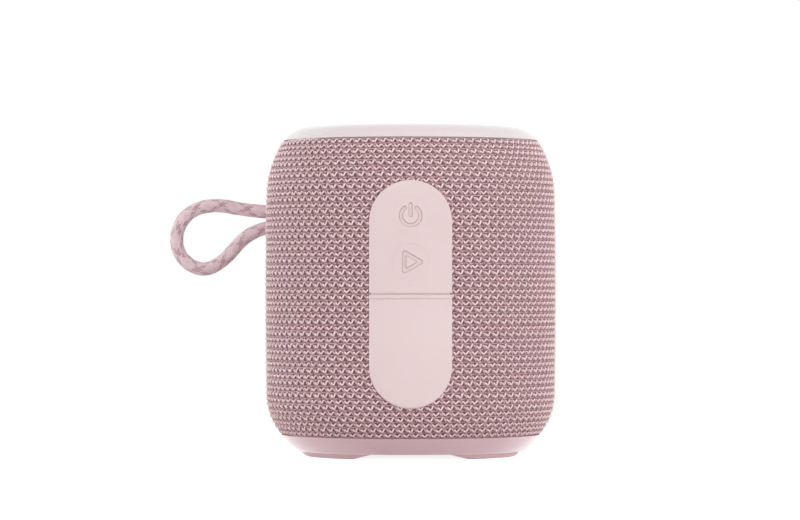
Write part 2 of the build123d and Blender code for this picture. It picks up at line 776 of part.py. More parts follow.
def port_tongue():
    length = (WELL_BACK + 0.6, PORT_BACK - PORT_LID_T)
    return block((-TONGUE_HALF, TONGUE_HALF), length, (PORT_Z - TONGUE_T / 2, PORT_Z + TONGUE_T / 2))


def port_board():
    top = PORT_Z - PORT_H / 2
    length = (WELL_BACK + WELL_T + 0.1, PORT_BACK + 0.3)
    return block((-PORT_BOARD_HALF, PORT_BOARD_HALF), length, (top - PORT_BOARD_T, top))


# ---- Electronics ----
def board_posts_at(y_low, y_high, radius):
    posts = []
    for x in (-BOARD_HOLE_X, BOARD_HOLE_X):
        for z in BOARD_HOLE_Z:
            posts.append(rod(radius, (x, y_low, z), (x, y_high, z)))
    return posts


def chassis_plate():
    """Plate across the drum, held between the housing's ribs."""
    inside = core(SLEEVE_T + SKIN_GAP + HOUSING_T + PLATE_GAP)
    plate = block((-FAR, FAR), PLATE_Y, PLATE_Z) & inside
    plate += board_posts_at(BOARD_Y[1], PLATE_Y[0], POST_R)
    return plate - (Part() + board_posts_at(BOARD_Y[0], PLATE_Y[1] - 0.4, POST_BORE_R))


def battery_cradle():
    """Half channel with end walls that holds the cell against the plate."""
    z_range = (CELL_Z[0] - 1.6, CELL_Z[1] + 1.8)
    cradle = block((-CRADLE_HALF, CRADLE_HALF), (PLATE_Y[1], CELL_Y + 2.0), z_range)
    cradle -= rod(CELL_R + 0.15, (0, CELL_Y, CELL_Z[0]), (0, CELL_Y, CELL_Z[1] + 0.2))
    return cradle - rod(2.5, (0, CELL_Y, CELL_Z[1] - 1), (0, CELL_Y, FAR * 2))


def battery_cell():
    cell = rod(CELL_R, (0, CELL_Y, CELL_Z[0]), (0, CELL_Y, CELL_Z[1]))
    return fillet(cell.edges().filter_by(GeomType.CIRCLE), CELL_CHAMFER)


def main_board():
    board = block((-BOARD_HALF, BOARD_HALF), BOARD_Y, BOARD_Z)
    return board - (Part() + board_posts_at(BOARD_Y[0] - 1, BOARD_Y[1] + 1, BOARD_HOLE_R))


def board_screws():
    head_y = BOARD_Y[0]
    head_r, head_h = BOARD_HEAD
    shanks = board_posts_at(head_y, PLATE_Y[1] - 0.5, BOARD_SCREW_R)
    heads = board_posts_at(head_y - head_h, head_y, head_r)
    return [shank + head for shank, head in zip(shanks, heads)]


def radio_module():
    front = BOARD_Y[0]
    carrier = block((-20, -8), (front - 0.8, front), (46, 66))
    return carrier + block((-19.4, -8.6), (front - 2.2, front - 0.8), (46.6, 60))


def board_chips():
    front = BOARD_Y[0]
    return [block(x_range, (front - height, front), z_range) for x_range, z_range, height in CHIPS]


def lead_sockets():
    front = BOARD_Y[0]
    return [block((x - 3, x + 3), (front - 2.4, front), (72.2, 76.2)) for x in (-9, 9)]


# ---- Driver ----
def driver_holes():
    holes = []
    for x, z in corner_spots(DRIVER_SCREW_R):
        start = (x, BAFFLE_Y[0] + 0.5, DRIVER_Z + z)
        holes.append(rod(DRIVER_HOLE_R, start, (x, FACE_Y + 1, DRIVER_Z + z)))
    return Part() + holes


def driver_baffle():
    """Plate across the drum that the driver is screwed to."""
    inside = core(SLEEVE_T + SKIN_GAP + HOUSING_T + PLATE_GAP)
    plate = block((-FAR, FAR), BAFFLE_Y, BAFFLE_Z) & inside
    plate -= rod(BAFFLE_HOLE_R, (0, BAFFLE_Y[0] - 1, DRIVER_Z), (0, BAFFLE_Y[1] + 1, DRIVER_Z))
    return plate - driver_holes()


def driver_gasket():
    inner = BAFFLE_HOLE_R + 0.2
    return driver_ring(inner, DRIVER_R, BAFFLE_Y[1], FACE_Y - FLANGE_BACK) - driver_holes()


def driver_basket():
    outline = [
        (DRIVER_R, FACE_Y - FLANGE_BACK),
        (DRIVER_R, FACE_Y - RIM_T),
        (21.6, FACE_Y - RIM_T),
        (SPIDER_R + 0.2, FACE_Y - SPIDER_BACK),
        (YOKE_R - 1.0, FACE_Y - SPIDER_BACK),
        (YOKE_R - 1.0, FACE_Y - POLE_BACK),
        (YOKE_R + 3.0, FACE_Y - POLE_BACK),
        (22.9, FACE_Y - FLANGE_BACK),
    ]
    basket = turned_on_driver(outline)
    middle = Vector(0, FACE_Y - WINDOW_BACK, DRIVER_Z)
    for angle in (0, 90, 180, 270):
        way = Vector(cos(radians(angle)), 0, sin(radians(angle)))
        basket -= rod(WINDOW_R, middle + way * 12, middle + way * 30)
    return basket - driver_holes()


def driver_yoke():
    back = FACE_Y - YOKE_BACK
    floor = FACE_Y - MAGNET_BACK
    rim = FACE_Y - POLE_BACK
    outline = [(0, back), (YOKE_R, back), (YOKE_R, rim), (YOKE_BORE_R, rim)]
    return turned_on_driver(outline + [(YOKE_BORE_R, floor), (0, floor)])


def driver_magnet():
    back = (0, FACE_Y - MAGNET_BACK, DRIVER_Z)
    return rod(MAGNET_R, back, (0, FACE_Y - MAGNET_FRONT, DRIVER_Z))


def pole_plate():
    back = (0, FACE_Y - MAGNET_FRONT, DRIVER_Z)
    return rod(POLE_R, back, (0, FACE_Y - POLE_BACK, DRIVER_Z))


def voice_coil():
    return driver_ring(COIL_IN, COIL_OUT, FACE_Y - COIL_BACK, FACE_Y - COIL_FRONT)


def driver_cone():
    neck = FACE_Y - COIL_FRONT
    rim = FACE_Y - RIM_T
    inner = COIL_IN + 0.05
    outline = [(inner, neck), (COIL_OUT + 0.1, neck), (CONE_R, rim - 0.7), (CONE_R, rim)]
    return turned_on_driver(outline + [(inner, neck + 0.9)])


def dust_cap():
    """Thin dome over the coil, cut from a hollow ball."""
    rim = FACE_Y - 7.1
    crown = FACE_Y - 4.4
    rise = crown - rim
    ball_r = (DOME_R**2 + rise**2) / (2 * rise)
    ball = Sphere(ball_r) - Sphere(ball_r - DOME_T)
    return (Pos(0, crown - ball_r, DRIVER_Z) * ball) & block((-FAR, FAR), (rim, FAR), (0, FAR * 2))


def driver_surround():
    """Rubber half roll between the cone's rim and the basket's flange."""
    mid = DRIVER_ROLL_R
    back = FACE_Y - RIM_T
    front = FACE_Y
    outer_half, inner_half = 1.75, 1.25
    edges = [
        Line((mid + inner_half, back), (DRIVER_R, back)),
        Line((DRIVER_R, back), (DRIVER_R, front)),
        Line((DRIVER_R, front), (mid + outer_half, front)),
        ThreePointArc((mid + outer_half, front), (mid, front + 1.3), (mid - outer_half, front)),
        Line((mid - outer_half, front), (mid - outer_half, back)),
        Line((mid - outer_half, back), (mid - inner_half, back)),
        ThreePointArc((mid - inner_half, back), (mid, front + 0.8), (mid + inner_half, back)),
    ]
    outline = Plane.XY.offset(DRIVER_Z) * make_face(Curve() + edges)
    return revolve(outline, Axis((0, 0, DRIVER_Z), (0, 1, 0))) - driver_holes()


def driver_spider():
    back = FACE_Y - SPIDER_BACK
    return driver_ring(COIL_OUT + 0.05, SPIDER_R, back, back + 0.5)


def driver_screws():
    screws = []
    head_r, head_h = DRIVER_HEAD
    for x, z in corner_spots(DRIVER_SCREW_R):
        height = DRIVER_Z + z
        shank = rod(DRIVER_SHANK_R, (x, BAFFLE_Y[0] + 0.6, height), (x, FACE_Y, height))
        screws.append(shank + rod(head_r, (x, FACE_Y, height), (x, FACE_Y + head_h, height)))
    return screws


def driver_terminal():
    return block((-4, 4), (14.5, 15.9), (DRIVER_Z + 15.7, DRIVER_Z + 21.0))


# ---- Hanging cord ----
def cord_eyelet():
    """Grommet that lines the slot through the sleeve and the housing."""
    lining = wall(-0.05, SLEEVE_T + SKIN_GAP + HOUSING_T)
    return (lining & cord_slot(*EYELET_SLOT)) - cord_slot(*EYELET_BORE)


def anchor_bores(radius, x_out):
    return [rod(radius, (CORD_END_X, CORD_Y, z), (x_out, CORD_Y, z)) for z in CORD_Z]


def cord_anchor():
    """Block inside the wall that grips both ends of the cord."""
    body = block((-FAR, ANCHOR_X), (CORD_Y - ANCHOR_HALF, CORD_Y + ANCHOR_HALF), ANCHOR_Z)
    body = body & core(SLEEVE_T + SKIN_GAP + HOUSING_T + 0.1)
    body -= Part() + anchor_bores(CORD_D / 2 + 0.12, -FAR)
    for z in CORD_Z:
        start = (GRUB_X, CORD_Y + 1.0, z)
        body -= rod(GRUB_R + THREAD_FIT, start, (GRUB_X, CORD_Y + ANCHOR_HALF + 0.5, z))
    return body


def cord_screws():
    """Grub screws that pinch the cord's ends in the anchor."""
    tip = CORD_Y + CORD_D / 2 + 0.02
    end = CORD_Y + ANCHOR_HALF - 0.1
    return [rod(GRUB_R, (GRUB_X, tip, z), (GRUB_X, end, z)) for z in CORD_Z]


def hang_cord():
    return tube(CORD_ROUTE, CORD_D, "hang_cord")


NODES = {
    "top_cap": top_cap(),
    "cap_seal": cap_seal(),
    "fabric_sleeve": fabric_sleeve(),
    "housing": housing(),
    "base_shell": base_shell(),
    "base_seal": base_seal(),
    "foot_left": foot(-1),
    "foot_right": foot(1),
    "radiator_surround": radiator_surround(),
    "radiator_plate": radiator_plate(),
    "radiator_weight": radiator_weight(),
    "radiator_clamp": radiator_clamp(),
    "radiator_screws": radiator_screws(),
    "panel_frame": panel_frame(),
    "button_pad": button_pad(),
    "power_key": key(POWER_Z, power_icon()),
    "play_key": key(PLAY_Z, play_icon()),
    "power_plunger": plunger(POWER_Z),
    "play_plunger": plunger(PLAY_Z),
    "power_switch": key_switch(POWER_Z),
    "play_switch": key_switch(PLAY_Z),
    "button_board": button_board(),
    "button_posts": board_posts(),
    "button_screws": button_screws(),
    "port_cover": port_cover(),
    "cover_tail": cover_tail(),
    "hinge_pin": hinge_pin(),
    "port_well": port_well(),
    "port_shell": port_shell(),
    "port_tongue": port_tongue(),
    "port_board": port_board(),
    "chassis_plate": chassis_plate(),
    "battery_cradle": battery_cradle(),
    "battery_cell": battery_cell(),
    "battery_lead": tube(BATTERY_LEAD, LEAD_D, "battery_lead"),
    "main_board": main_board(),
    "board_screws": board_screws(),
    "radio_module": radio_module(),
    "board_chips": board_chips(),
    "lead_sockets": lead_sockets(),
    "driver_baffle": driver_baffle(),
    "driver_gasket": driver_gasket(),
    "driver_basket": driver_basket(),
    "driver_yoke": driver_yoke(),
    "driver_magnet": driver_magnet(),
    "pole_plate": pole_plate(),
    "voice_coil": voice_coil(),
    "driver_cone": driver_cone(),
    "dust_cap": dust_cap(),
    "driver_surround": driver_surround(),
    "driver_spider": driver_spider(),
    "driver_screws": driver_screws(),
    "driver_terminal": driver_terminal(),
    "speaker_lead": tube(SPEAKER_LEAD, LEAD_D, "speaker_lead"),
    "cord_eyelet": cord_eyelet(),
    "cord_anchor": cord_anchor(),
    "cord_screws": cord_screws(),
    "hang_cord": hang_cord(),
}

os.makedirs("parts", exist_ok=True)
for name, shape in NODES.items():
    if isinstance(shape, list):
        shape = Compound(children=[solid for piece in shape for solid in piece.solids()])
    export_step(shape, f"parts/{name}.step")
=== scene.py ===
from math import asin, cos, pi, radians, sin, sqrt, tau

import bmesh
import bpy
from mathutils import Matrix, Vector, noise


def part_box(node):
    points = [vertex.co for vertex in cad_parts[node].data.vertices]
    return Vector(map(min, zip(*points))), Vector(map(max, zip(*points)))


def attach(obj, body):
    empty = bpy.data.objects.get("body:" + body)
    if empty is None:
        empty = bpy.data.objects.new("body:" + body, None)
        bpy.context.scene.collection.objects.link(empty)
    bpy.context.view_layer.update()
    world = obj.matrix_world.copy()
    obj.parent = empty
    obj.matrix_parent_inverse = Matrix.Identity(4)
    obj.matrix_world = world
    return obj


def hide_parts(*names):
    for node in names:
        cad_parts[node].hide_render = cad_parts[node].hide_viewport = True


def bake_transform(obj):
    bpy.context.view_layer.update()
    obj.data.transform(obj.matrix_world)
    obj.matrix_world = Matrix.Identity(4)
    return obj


# Shower speaker: an upright drum in a knitted sleeve, with a soft control panel down its front,
# a braided hanging cord on its left and two rubber feet. Metres, +Z up, panel towards -Y.
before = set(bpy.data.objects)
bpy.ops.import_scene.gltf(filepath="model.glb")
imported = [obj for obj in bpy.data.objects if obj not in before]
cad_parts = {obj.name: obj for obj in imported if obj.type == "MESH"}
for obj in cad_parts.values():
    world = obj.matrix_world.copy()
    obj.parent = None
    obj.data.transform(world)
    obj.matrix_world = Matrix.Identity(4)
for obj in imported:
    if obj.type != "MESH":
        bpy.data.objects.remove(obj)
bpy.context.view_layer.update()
MM = 0.001
scene = bpy.context.scene

# ---- Camera ----
# A long lens, level with the middle of the drum and straight in front of the panel, so that the
# top and the base show almost edge on.
CAMERA_DISTANCE = 1.236
CAMERA_HEIGHT = 53.3 * MM
camera_data = bpy.data.cameras.new("camera")
camera_data.lens = 180
camera_data.sensor_width = 36
camera_data.shift_x = -0.01325
camera_data.shift_y = 0.02875
camera_data.clip_end = 50
camera = bpy.data.objects.new("camera", camera_data)
camera.location = (0, -CAMERA_DISTANCE, CAMERA_HEIGHT)
camera.rotation_euler = (radians(90), 0, 0)
scene.collection.objects.link(camera)
scene.camera = camera
scene.view_settings.view_transform = "Standard"

# ---- Hanging cord ----
# A braided polyester cord of 4.2 mm, one piece, that comes out at the top of the eyelet, makes one
# open loop and goes back in below. Thirty-two bundles of yarn run round a core, sixteen each way,
# over two and under two; two in every eight are darker and show as flecks.
CORD_ROUTE = [
    (-35.0, 7.0, 75.1),
    (-42.0, 7.0, 75.1),
    (-51.6, 6.9, 76.0),
    (-61.4, 6.6, 77.9),
    (-69.6, 6.2, 75.2),
    (-73.3, 5.9, 67.9),
    (-71.3, 5.8, 60.5),
    (-64.3, 5.9, 56.7),
    (-57.6, 6.3, 60.4),
    (-52.0, 6.7, 67.4),
    (-45.5, 6.9, 70.6),
    (-39.5, 7.0, 70.3),
    (-35.0, 7.0, 70.3),
]
CORD_D = 4.2 * MM
BUNDLES = 16
BUNDLE_R = 0.36 * MM
WEAVE_LIFT = 0.05 * MM
BRAID_PITCH = 16 * MM
BRAID_COLOURS = (
    ("cord_yarn_rose", "#e6c9ce", "#f0d7db"),
    ("cord_yarn_grey_rose", "#dfcbce", "#ead9dc"),
    ("cord_yarn_mauve", "#bd9aa2", "#ceafb5"),
)
DARK_COLOUR = 2
DYE_REPEAT = 8
DARK_BUNDLES = 2


def linear(code):
    """A hex sRGB colour as linear RGBA."""
    parts = [int(code[i : i + 2], 16) / 255 for i in (1, 3, 5)]
    return [p / 12.92 if p <= 0.04045 else ((p + 0.055) / 1.055) ** 2.4 for p in parts] + [1.0]


def add(material, kind, settings=None, inputs=None):
    """Adds a shader node with its settings, and sets or links its inputs."""
    made = material.node_tree.nodes.new(kind)
    for name, value in (settings or {}).items():
        setattr(made, name, value)
    for name, value in (inputs or {}).items():
        if isinstance(value, bpy.types.NodeSocket):
            material.node_tree.links.new(value, made.inputs[name])
        else:
            made.inputs[name].default_value = value
    return made


def finish(name, roughness, colour, **sockets):
    """A new material with its colour as a hex code, returned with its shader."""
    material = bpy.data.materials.new(name)
    material.use_nodes = True
    shader = material.node_tree.nodes["Principled BSDF"]
    shader.inputs["Base Color"].default_value = linear(colour)
    shader.inputs["Roughness"].default_value = roughness
    for socket, value in sockets.items():
        shader.inputs[socket.replace("_", " ")].default_value = value
    return material, shader


def mottle(material, shader, dark, light, size, low=0.35, high=0.65, detail=3.0):
    """Drifts the base colour between two hex codes in patches of one size in metres."""
    place = add(material, "ShaderNodeTexCoord")
    patches = add(
        material,
        "ShaderNodeTexNoise",
        inputs={"Vector": place.outputs["Object"], "Scale": 1 / size, "Detail": detail},
    )
    spread = add(
        material,
        "ShaderNodeMapRange",
        inputs={"Value": patches.outputs["Fac"], "From Min": low, "From Max": high},
    )
    mix = add(
        material,
        "ShaderNodeMix",
        {"data_type": "RGBA"},
        {0: spread.outputs["Result"], 6: linear(dark), 7: linear(light)},
    )
    material.node_tree.links.new(mix.outputs[2], shader.inputs["Base Color"])
    return place


def grain(material, shader, place, size, depth, detail=4.0):
    """A fine bump, with a grain size and a depth in metres."""
    pits = add(
        material,
        "ShaderNodeTexNoise",
        inputs={"Vector": place.outputs["Object"], "Scale": 1 / size, "Detail": detail},
    )
    bump = add(
        material,
        "ShaderNodeBump",
        inputs={"Height": pits.outputs["Fac"], "Distance": depth, "Strength": 1.0},
    )
    material.node_tree.links.new(bump.outputs["Normal"], shader.inputs["Normal"])


def braided_yarn(name, dark, light):
    """Dyed polyester multifilament: soft, fibrous, with a faint sheen along each bundle."""
    material, shader = finish(name, 0.75, light, Sheen_Weight=0.15, Sheen_Roughness=0.5)
    place = mottle(material, shader, dark, light, 1.8 * MM)
    grain(material, shader, place, 0.4 * MM, 0.01 * MM)
    return material


def install(piece, body, slot, *nodes):
    """Rides a finished piece on a body and lets it stand for CAD nodes."""
    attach(piece, body)
    if nodes:
        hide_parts(*nodes)
    return piece


def yarn_curve(name, radius, roundness):
    """A curve that gets the thickness of a yarn, with closed ends."""
    curve = bpy.data.curves.new(name, "CURVE")
    curve.dimensions = "3D"
    curve.bevel_depth = radius
    curve.bevel_resolution = roundness
    curve.use_fill_caps = True
    return curve


def mesh_of(curve):
    """The mesh that a curve makes."""
    holder = bpy.data.objects.new(curve.name, curve)
    scene.collection.objects.link(holder)
    mesh = bpy.data.meshes.new_from_object(holder)
    bpy.data.objects.remove(holder)
    return mesh


def placed(name, mesh):
    """A new object in the scene, with its place in its mesh."""
    made = bpy.data.objects.new(name, mesh)
    scene.collection.objects.link(made)
    return made


cord_curve = bpy.data.curves.new("cord_line", "CURVE")
cord_curve.dimensions = "3D"
spline = cord_curve.splines.new("NURBS")
spline.points.add(len(CORD_ROUTE) - 1)
for point, (x, y, z) in zip(spline.points, CORD_ROUTE):
    point.co = (x * MM, y * MM, z * MM, 1)
spline.order_u = 3
spline.use_endpoint_u = True
spline.resolution_u = 20
cord_line = [vert.co.copy() for vert in mesh_of(cord_curve).vertices]

# A frame is carried along the line without twist, and each bundle winds about it. It meets a
# bundle of the other way at every crossing, and four crossings make one wave.
cord_frames = []
side = Vector((0, 1, 0))
travelled = 0.0
for index, point in enumerate(cord_line):
    after = cord_line[min(index + 1, len(cord_line) - 1)]
    before = cord_line[max(index - 1, 0)]
    along = (after - before).normalized()
    side = (side - along * side.dot(along)).normalized()
    if index:
        travelled += (point - before).length
    cord_frames.append((point, side.copy(), along.cross(side), travelled))

braid = yarn_curve("braid", BUNDLE_R, 1)
bundle_ring_r = CORD_D / 2 - BUNDLE_R - WEAVE_LIFT
for dyed in BRAID_COLOURS:
    braid.materials.append(braided_yarn(*dyed))
for way in (1, -1):
    for number in range(BUNDLES):
        bundle = braid.splines.new("POLY")
        bundle.points.add(len(cord_frames) - 1)
        is_dark = number % DYE_REPEAT < DARK_BUNDLES
        bundle.material_index = DARK_COLOUR if is_dark else int(way < 0)
        for spot, (point, side, up, run) in zip(bundle.points, cord_frames):
            turn = way * tau * run / BRAID_PITCH + tau * number / BUNDLES
            crossing = 2 * run / BRAID_PITCH * BUNDLES
            lift = way * cos(pi / 2 * (2 * number + way * crossing - 0.5))
            reach = bundle_ring_r + WEAVE_LIFT * lift
            spot.co = (*(point + (side * cos(turn) + up * sin(turn)) * reach), 1)
cord = placed("cord_braid", mesh_of(braid))
cord.data.shade_smooth()
install(cord, "root", "braided_cord", "hang_cord")

core_curve = yarn_curve("cord_core", CORD_D / 2 - 2 * BUNDLE_R, 3)
core_spline = core_curve.splines.new("POLY")
core_spline.points.add(len(cord_line) - 1)
for spot, point in zip(core_spline.points, cord_line):
    spot.co = (*point, 1)
core = placed("cord_core", mesh_of(core_curve))
core.data.materials.clear()
core.data.materials.append(braided_yarn("cord_core_yarn", "#b08f95", "#bd9ba1"))
install(core, "root", "braided_cord")

# ---- Floor and light ----
# A white sheet under the drum and a white tent round it, brighter above than below. One large soft
# lamp stands above the front, one on each side and one behind each edge, and beside those hang
# two cards that show only as a sheen on the smooth plastic.
FLOOR_SIDE = 12.0
SHEET_WHITE = "#f0eded"
NEAR_GLOW = 0.85
NEAR_R = 0.12
FAR_R = 0.35
TENT_BELOW = 0.31
TENT_ABOVE = 0.47
LAMP_AIM = Vector((0, 0, 0.05))
WHITE = (1, 1, 1, 1)


def object_from(name, form):
    """Turns a bmesh into an object."""
    mesh = bpy.data.meshes.new(name)
    form.to_mesh(mesh)
    form.free()
    return placed(name, mesh)


def looked_at(material):
    """One where a ray shows the white itself: to the camera, in a sheen or through a clear wall."""
    rays = add(material, "ShaderNodeLightPath")
    seen = rays.outputs["Is Camera Ray"]
    for kind in ("Is Glossy Ray", "Is Transmission Ray"):
        sides = {0: seen, 1: rays.outputs[kind]}
        seen = add(material, "ShaderNodeMath", {"operation": "MAXIMUM"}, sides).outputs[0]
    return seen


flat_form = bmesh.new()
bmesh.ops.create_grid(flat_form, x_segments=1, y_segments=1, size=FLOOR_SIDE / 2)
floor = object_from("floor", flat_form)
paper = bpy.data.materials.new("white_paper")
paper.use_nodes = True
paper.node_tree.nodes.clear()
sheet = add(paper, "ShaderNodeBsdfDiffuse", inputs={"Color": linear(SHEET_WHITE)})
glow = add(paper, "ShaderNodeEmission", inputs={"Color": WHITE, "Strength": NEAR_GLOW})
near = add(paper, "ShaderNodeAddShader", inputs={0: sheet.outputs[0], 1: glow.outputs[0]})
far = add(paper, "ShaderNodeEmission", inputs={"Color": WHITE, "Strength": 1.0})
spot = add(paper, "ShaderNodeTexCoord")
reach = add(paper, "ShaderNodeVectorMath", {"operation": "LENGTH"}, {0: spot.outputs["Object"]})
fade = add(
    paper,
    "ShaderNodeMapRange",
    inputs={"Value": reach.outputs["Value"], "From Min": NEAR_R, "From Max": FAR_R},
)
both = add(
    paper,
    "ShaderNodeMixShader",
    inputs={0: fade.outputs["Result"], 1: near.outputs[0], 2: far.outputs[0]},
)
choice = add(
    paper,
    "ShaderNodeMixShader",
    inputs={0: looked_at(paper), 1: sheet.outputs[0], 2: both.outputs[0]},
)
add(paper, "ShaderNodeOutputMaterial", inputs={"Surface": choice.outputs[0]})
floor.data.materials.append(paper)

tent = bpy.data.worlds.new("tent")
tent.use_nodes = True
tent.node_tree.nodes.clear()
toward = add(tent, "ShaderNodeTexCoord")
height = add(tent, "ShaderNodeSeparateXYZ", inputs={0: toward.outputs["Generated"]})
cast = add(
    tent,
    "ShaderNodeMapRange",
    inputs={
        "Value": height.outputs["Z"],
        "From Min": -1.0,
        "From Max": 1.0,
        "To Min": TENT_BELOW,
        "To Max": TENT_ABOVE,
    },
)
strength = add(
    tent,
    "ShaderNodeMix",
    inputs={"Factor": looked_at(tent), 2: cast.outputs["Result"], 3: 1.0},
)
cloth_white = add(
    tent,
    "ShaderNodeBackground",
    inputs={"Color": WHITE, "Strength": strength.outputs["Result"]},
)
add(tent, "ShaderNodeOutputWorld", inputs={"Surface": cloth_white.outputs[0]})
scene.world = tent


def soft_lamp(name, place, side, watts, sheen_only=False):
    """A square lamp aimed at the middle of the drum, or a card that shows only as a sheen."""
    lamp = bpy.data.lights.new(name, "AREA")
    lamp.size = side
    lamp.energy = watts
    holder = bpy.data.objects.new(name, lamp)
    holder.location = place
    aim = LAMP_AIM - Vector(place)
    holder.rotation_euler = aim.to_track_quat("-Z", "Y").to_euler()
    holder.visible_diffuse = not sheen_only
    scene.collection.objects.link(holder)


soft_lamp("lamp_top", (0, -0.6, 1.1), side=0.8, watts=3)
soft_lamp("lamp_left", (-1.1, -0.8, 0.5), side=0.7, watts=5.2)
soft_lamp("lamp_right", (1.1, -0.8, 0.5), side=0.7, watts=7.0)
soft_lamp("lamp_rim_left", (-1.2, 0.35, 0.25), side=0.8, watts=2.4)
soft_lamp("lamp_rim_right", (1.2, 0.35, 0.25), side=0.8, watts=2.4)
soft_lamp("card_left", (-1.1, 0.55, 0.1), side=1.0, watts=24, sheen_only=True)
soft_lamp("card_right", (1.1, 0.55, 0.1), side=1.0, watts=5, sheen_only=True)

# ---- Inner parts ----
# Moulded ABS, glass-filled plates, circuit boards, steel and the driver's parts, screwed or
# clipped into the drum. They keep the CAD's shape, and each gets the finish of its real material.
# The sizes of mottle and grain are given in millimetres.


def moulded(name, dark, light, roughness, speck=0.25, depth=0.008):
    """Injection-moulded plastic: even colour, very fine spark-eroded grain, soft highlights."""
    material, shader = finish(name, roughness, light, IOR=1.5)
    place = mottle(material, shader, dark, light, 9 * MM)
    grain(material, shader, place, speck * MM, depth * MM)
    return material


def metal(name, dark, light, roughness):
    """Stamped or drawn metal, with the faint streaks of rolling."""
    material, shader = finish(name, roughness, light, Metallic=1.0)
    place = mottle(material, shader, dark, light, 2 * MM)
    grain(material, shader, place, 0.1 * MM, 0.004 * MM)
    return material


def fibrous(name, dark, light, roughness, size):
    """Paper, cloth or laminate, whose fibres show as a fine mottle."""
    material, shader = finish(name, roughness, light)
    place = mottle(material, shader, dark, light, size * MM)
    grain(material, shader, place, size * 0.4 * MM, 0.03 * MM)
    return material


black_abs = moulded("black_moulded_abs", "#1b1a1b", "#242324", 0.5)
mauve_abs = moulded("mauve_moulded_abs", "#8c6f74", "#957a7f", 0.55)
pink_abs = moulded("pink_moulded_abs", "#b59398", "#bd9ca0", 0.55)
black_rubber = moulded("black_moulded_rubber", "#161616", "#1f1f1f", 0.65)
rose_seal = moulded("rose_moulded_seal", "#8f7277", "#997c81", 0.6)
plated_steel = metal("plated_steel", "#9c9d9f", "#b9babc", 0.3)
shield_tin = metal("tinned_shield", "#a6a8ab", "#bfc1c4", 0.35)
ferrite = metal("coated_magnet", "#55565a", "#6b6c70", 0.45)
laminate = fibrous("green_glass_laminate", "#1d4a33", "#28603f", 0.45, 1.0)
cell_film = moulded("shrunk_film", "#3c6f8f", "#4479a0", 0.35)
copper = metal("enamelled_copper", "#a2562f", "#b8683a", 0.3)
cone_paper = fibrous("pressed_paper", "#232123", "#2f2c2e", 0.8, 0.6)
spider_cloth = fibrous("resin_treated_cotton", "#a5895a", "#b89a68", 0.85, 0.5)
lead_skin = moulded("extruded_insulation", "#8c2323", "#a02a2a", 0.45)

INNER = {
    "housing": pink_abs,
    "panel_frame": pink_abs,
    "cap_seal": rose_seal,
    "base_seal": rose_seal,
    "radiator_weight": plated_steel,
    "radiator_clamp": black_abs,
    "radiator_screws": plated_steel,
    "power_plunger": black_abs,
    "play_plunger": black_abs,
    "power_switch": black_abs,
    "play_switch": black_abs,
    "button_board": laminate,
    "button_posts": mauve_abs,
    "button_screws": plated_steel,
    "hinge_pin": plated_steel,
    "port_well": black_abs,
    "port_shell": plated_steel,
    "port_tongue": black_abs,
    "port_board": laminate,
    "chassis_plate": black_abs,
    "battery_cradle": black_abs,
    "battery_cell": cell_film,
    "battery_lead": lead_skin,
    "main_board": laminate,
    "board_screws": plated_steel,
    "radio_module": shield_tin,
    "board_chips": black_abs,
    "lead_sockets": black_abs,
    "driver_baffle": black_abs,
    "driver_gasket": black_rubber,
    "driver_basket": plated_steel,
    "driver_yoke": plated_steel,
    "driver_magnet": ferrite,
    "pole_plate": plated_steel,
    "voice_coil": copper,
    "driver_cone": cone_paper,
    "dust_cap": cone_paper,
    "driver_surround": black_rubber,
    "driver_spider": spider_cloth,
    "driver_screws": plated_steel,
    "driver_terminal": laminate,
    "speaker_lead": lead_skin,
    "cord_anchor": black_abs,
    "cord_screws": plated_steel,
}
for node_name, coat in INNER.items():
    inner_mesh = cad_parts[node_name].data
    inner_mesh.materials.clear()
    inner_mesh.materials.append(coat)

# ---- Knitted sleeve ----
# A polyester knit pulled over the drum and tucked under the cap and the base. Every second row
# of stitches stands out, and the rows between lie lower. The loops are real yarn, bent round the
# drum, over a closed backing cloth. The drum's side is three arcs, and the belly is almost flat.
BODY_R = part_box("fabric_sleeve")[1].x
BELLY_R = 1.7
BELLY_HALF = 30.5 * MM
BELLY_MID = 49.5 * MM
TOP_ARC_R = 33.2 * MM
TOP_ARC_END = radians(32)
LOW_ARC_R = 20 * MM
LOW_ARC_END = radians(39.4)
LEAN = asin(BELLY_HALF / BELLY_R)
BELLY_CENTRE = Vector((BODY_R - BELLY_R, BELLY_MID))
TOP_CENTRE = BELLY_CENTRE + Vector((cos(LEAN), sin(LEAN))) * (BELLY_R - TOP_ARC_R)
LOW_CENTRE = BELLY_CENTRE + Vector((cos(LEAN), -sin(LEAN))) * (BELLY_R - LOW_ARC_R)
LOW_RUN = LOW_ARC_R * (LOW_ARC_END - LEAN)
BELLY_RUN = 2 * BELLY_R * LEAN
SIDE_RUN = LOW_RUN + BELLY_RUN + TOP_ARC_R * (TOP_ARC_END - LEAN)


def drum_side(run):
    """The sleeve's face at a distance up its side: radius, height and tilt above level."""
    if run < LOW_RUN:
        tilt = -LOW_ARC_END + run / LOW_ARC_R
        centre, radius = LOW_CENTRE, LOW_ARC_R
    elif run < LOW_RUN + BELLY_RUN:
        tilt = -LEAN + (run - LOW_RUN) / BELLY_R
        centre, radius = BELLY_CENTRE, BELLY_R
    else:
        tilt = LEAN + (run - LOW_RUN - BELLY_RUN) / TOP_ARC_R
        centre, radius = TOP_CENTRE, TOP_ARC_R
    return centre.x + radius * cos(tilt), centre.y + radius * sin(tilt), tilt


def drum_radius(height):
    """The sleeve's radius at a height."""
    if height < BELLY_MID - BELLY_HALF:
        centre, radius = LOW_CENTRE, LOW_ARC_R
    elif height < BELLY_MID + BELLY_HALF:
        centre, radius = BELLY_CENTRE, BELLY_R
    else:
        centre, radius = TOP_CENTRE, TOP_ARC_R
    return centre.x + sqrt(radius**2 - (height - centre.y) ** 2)


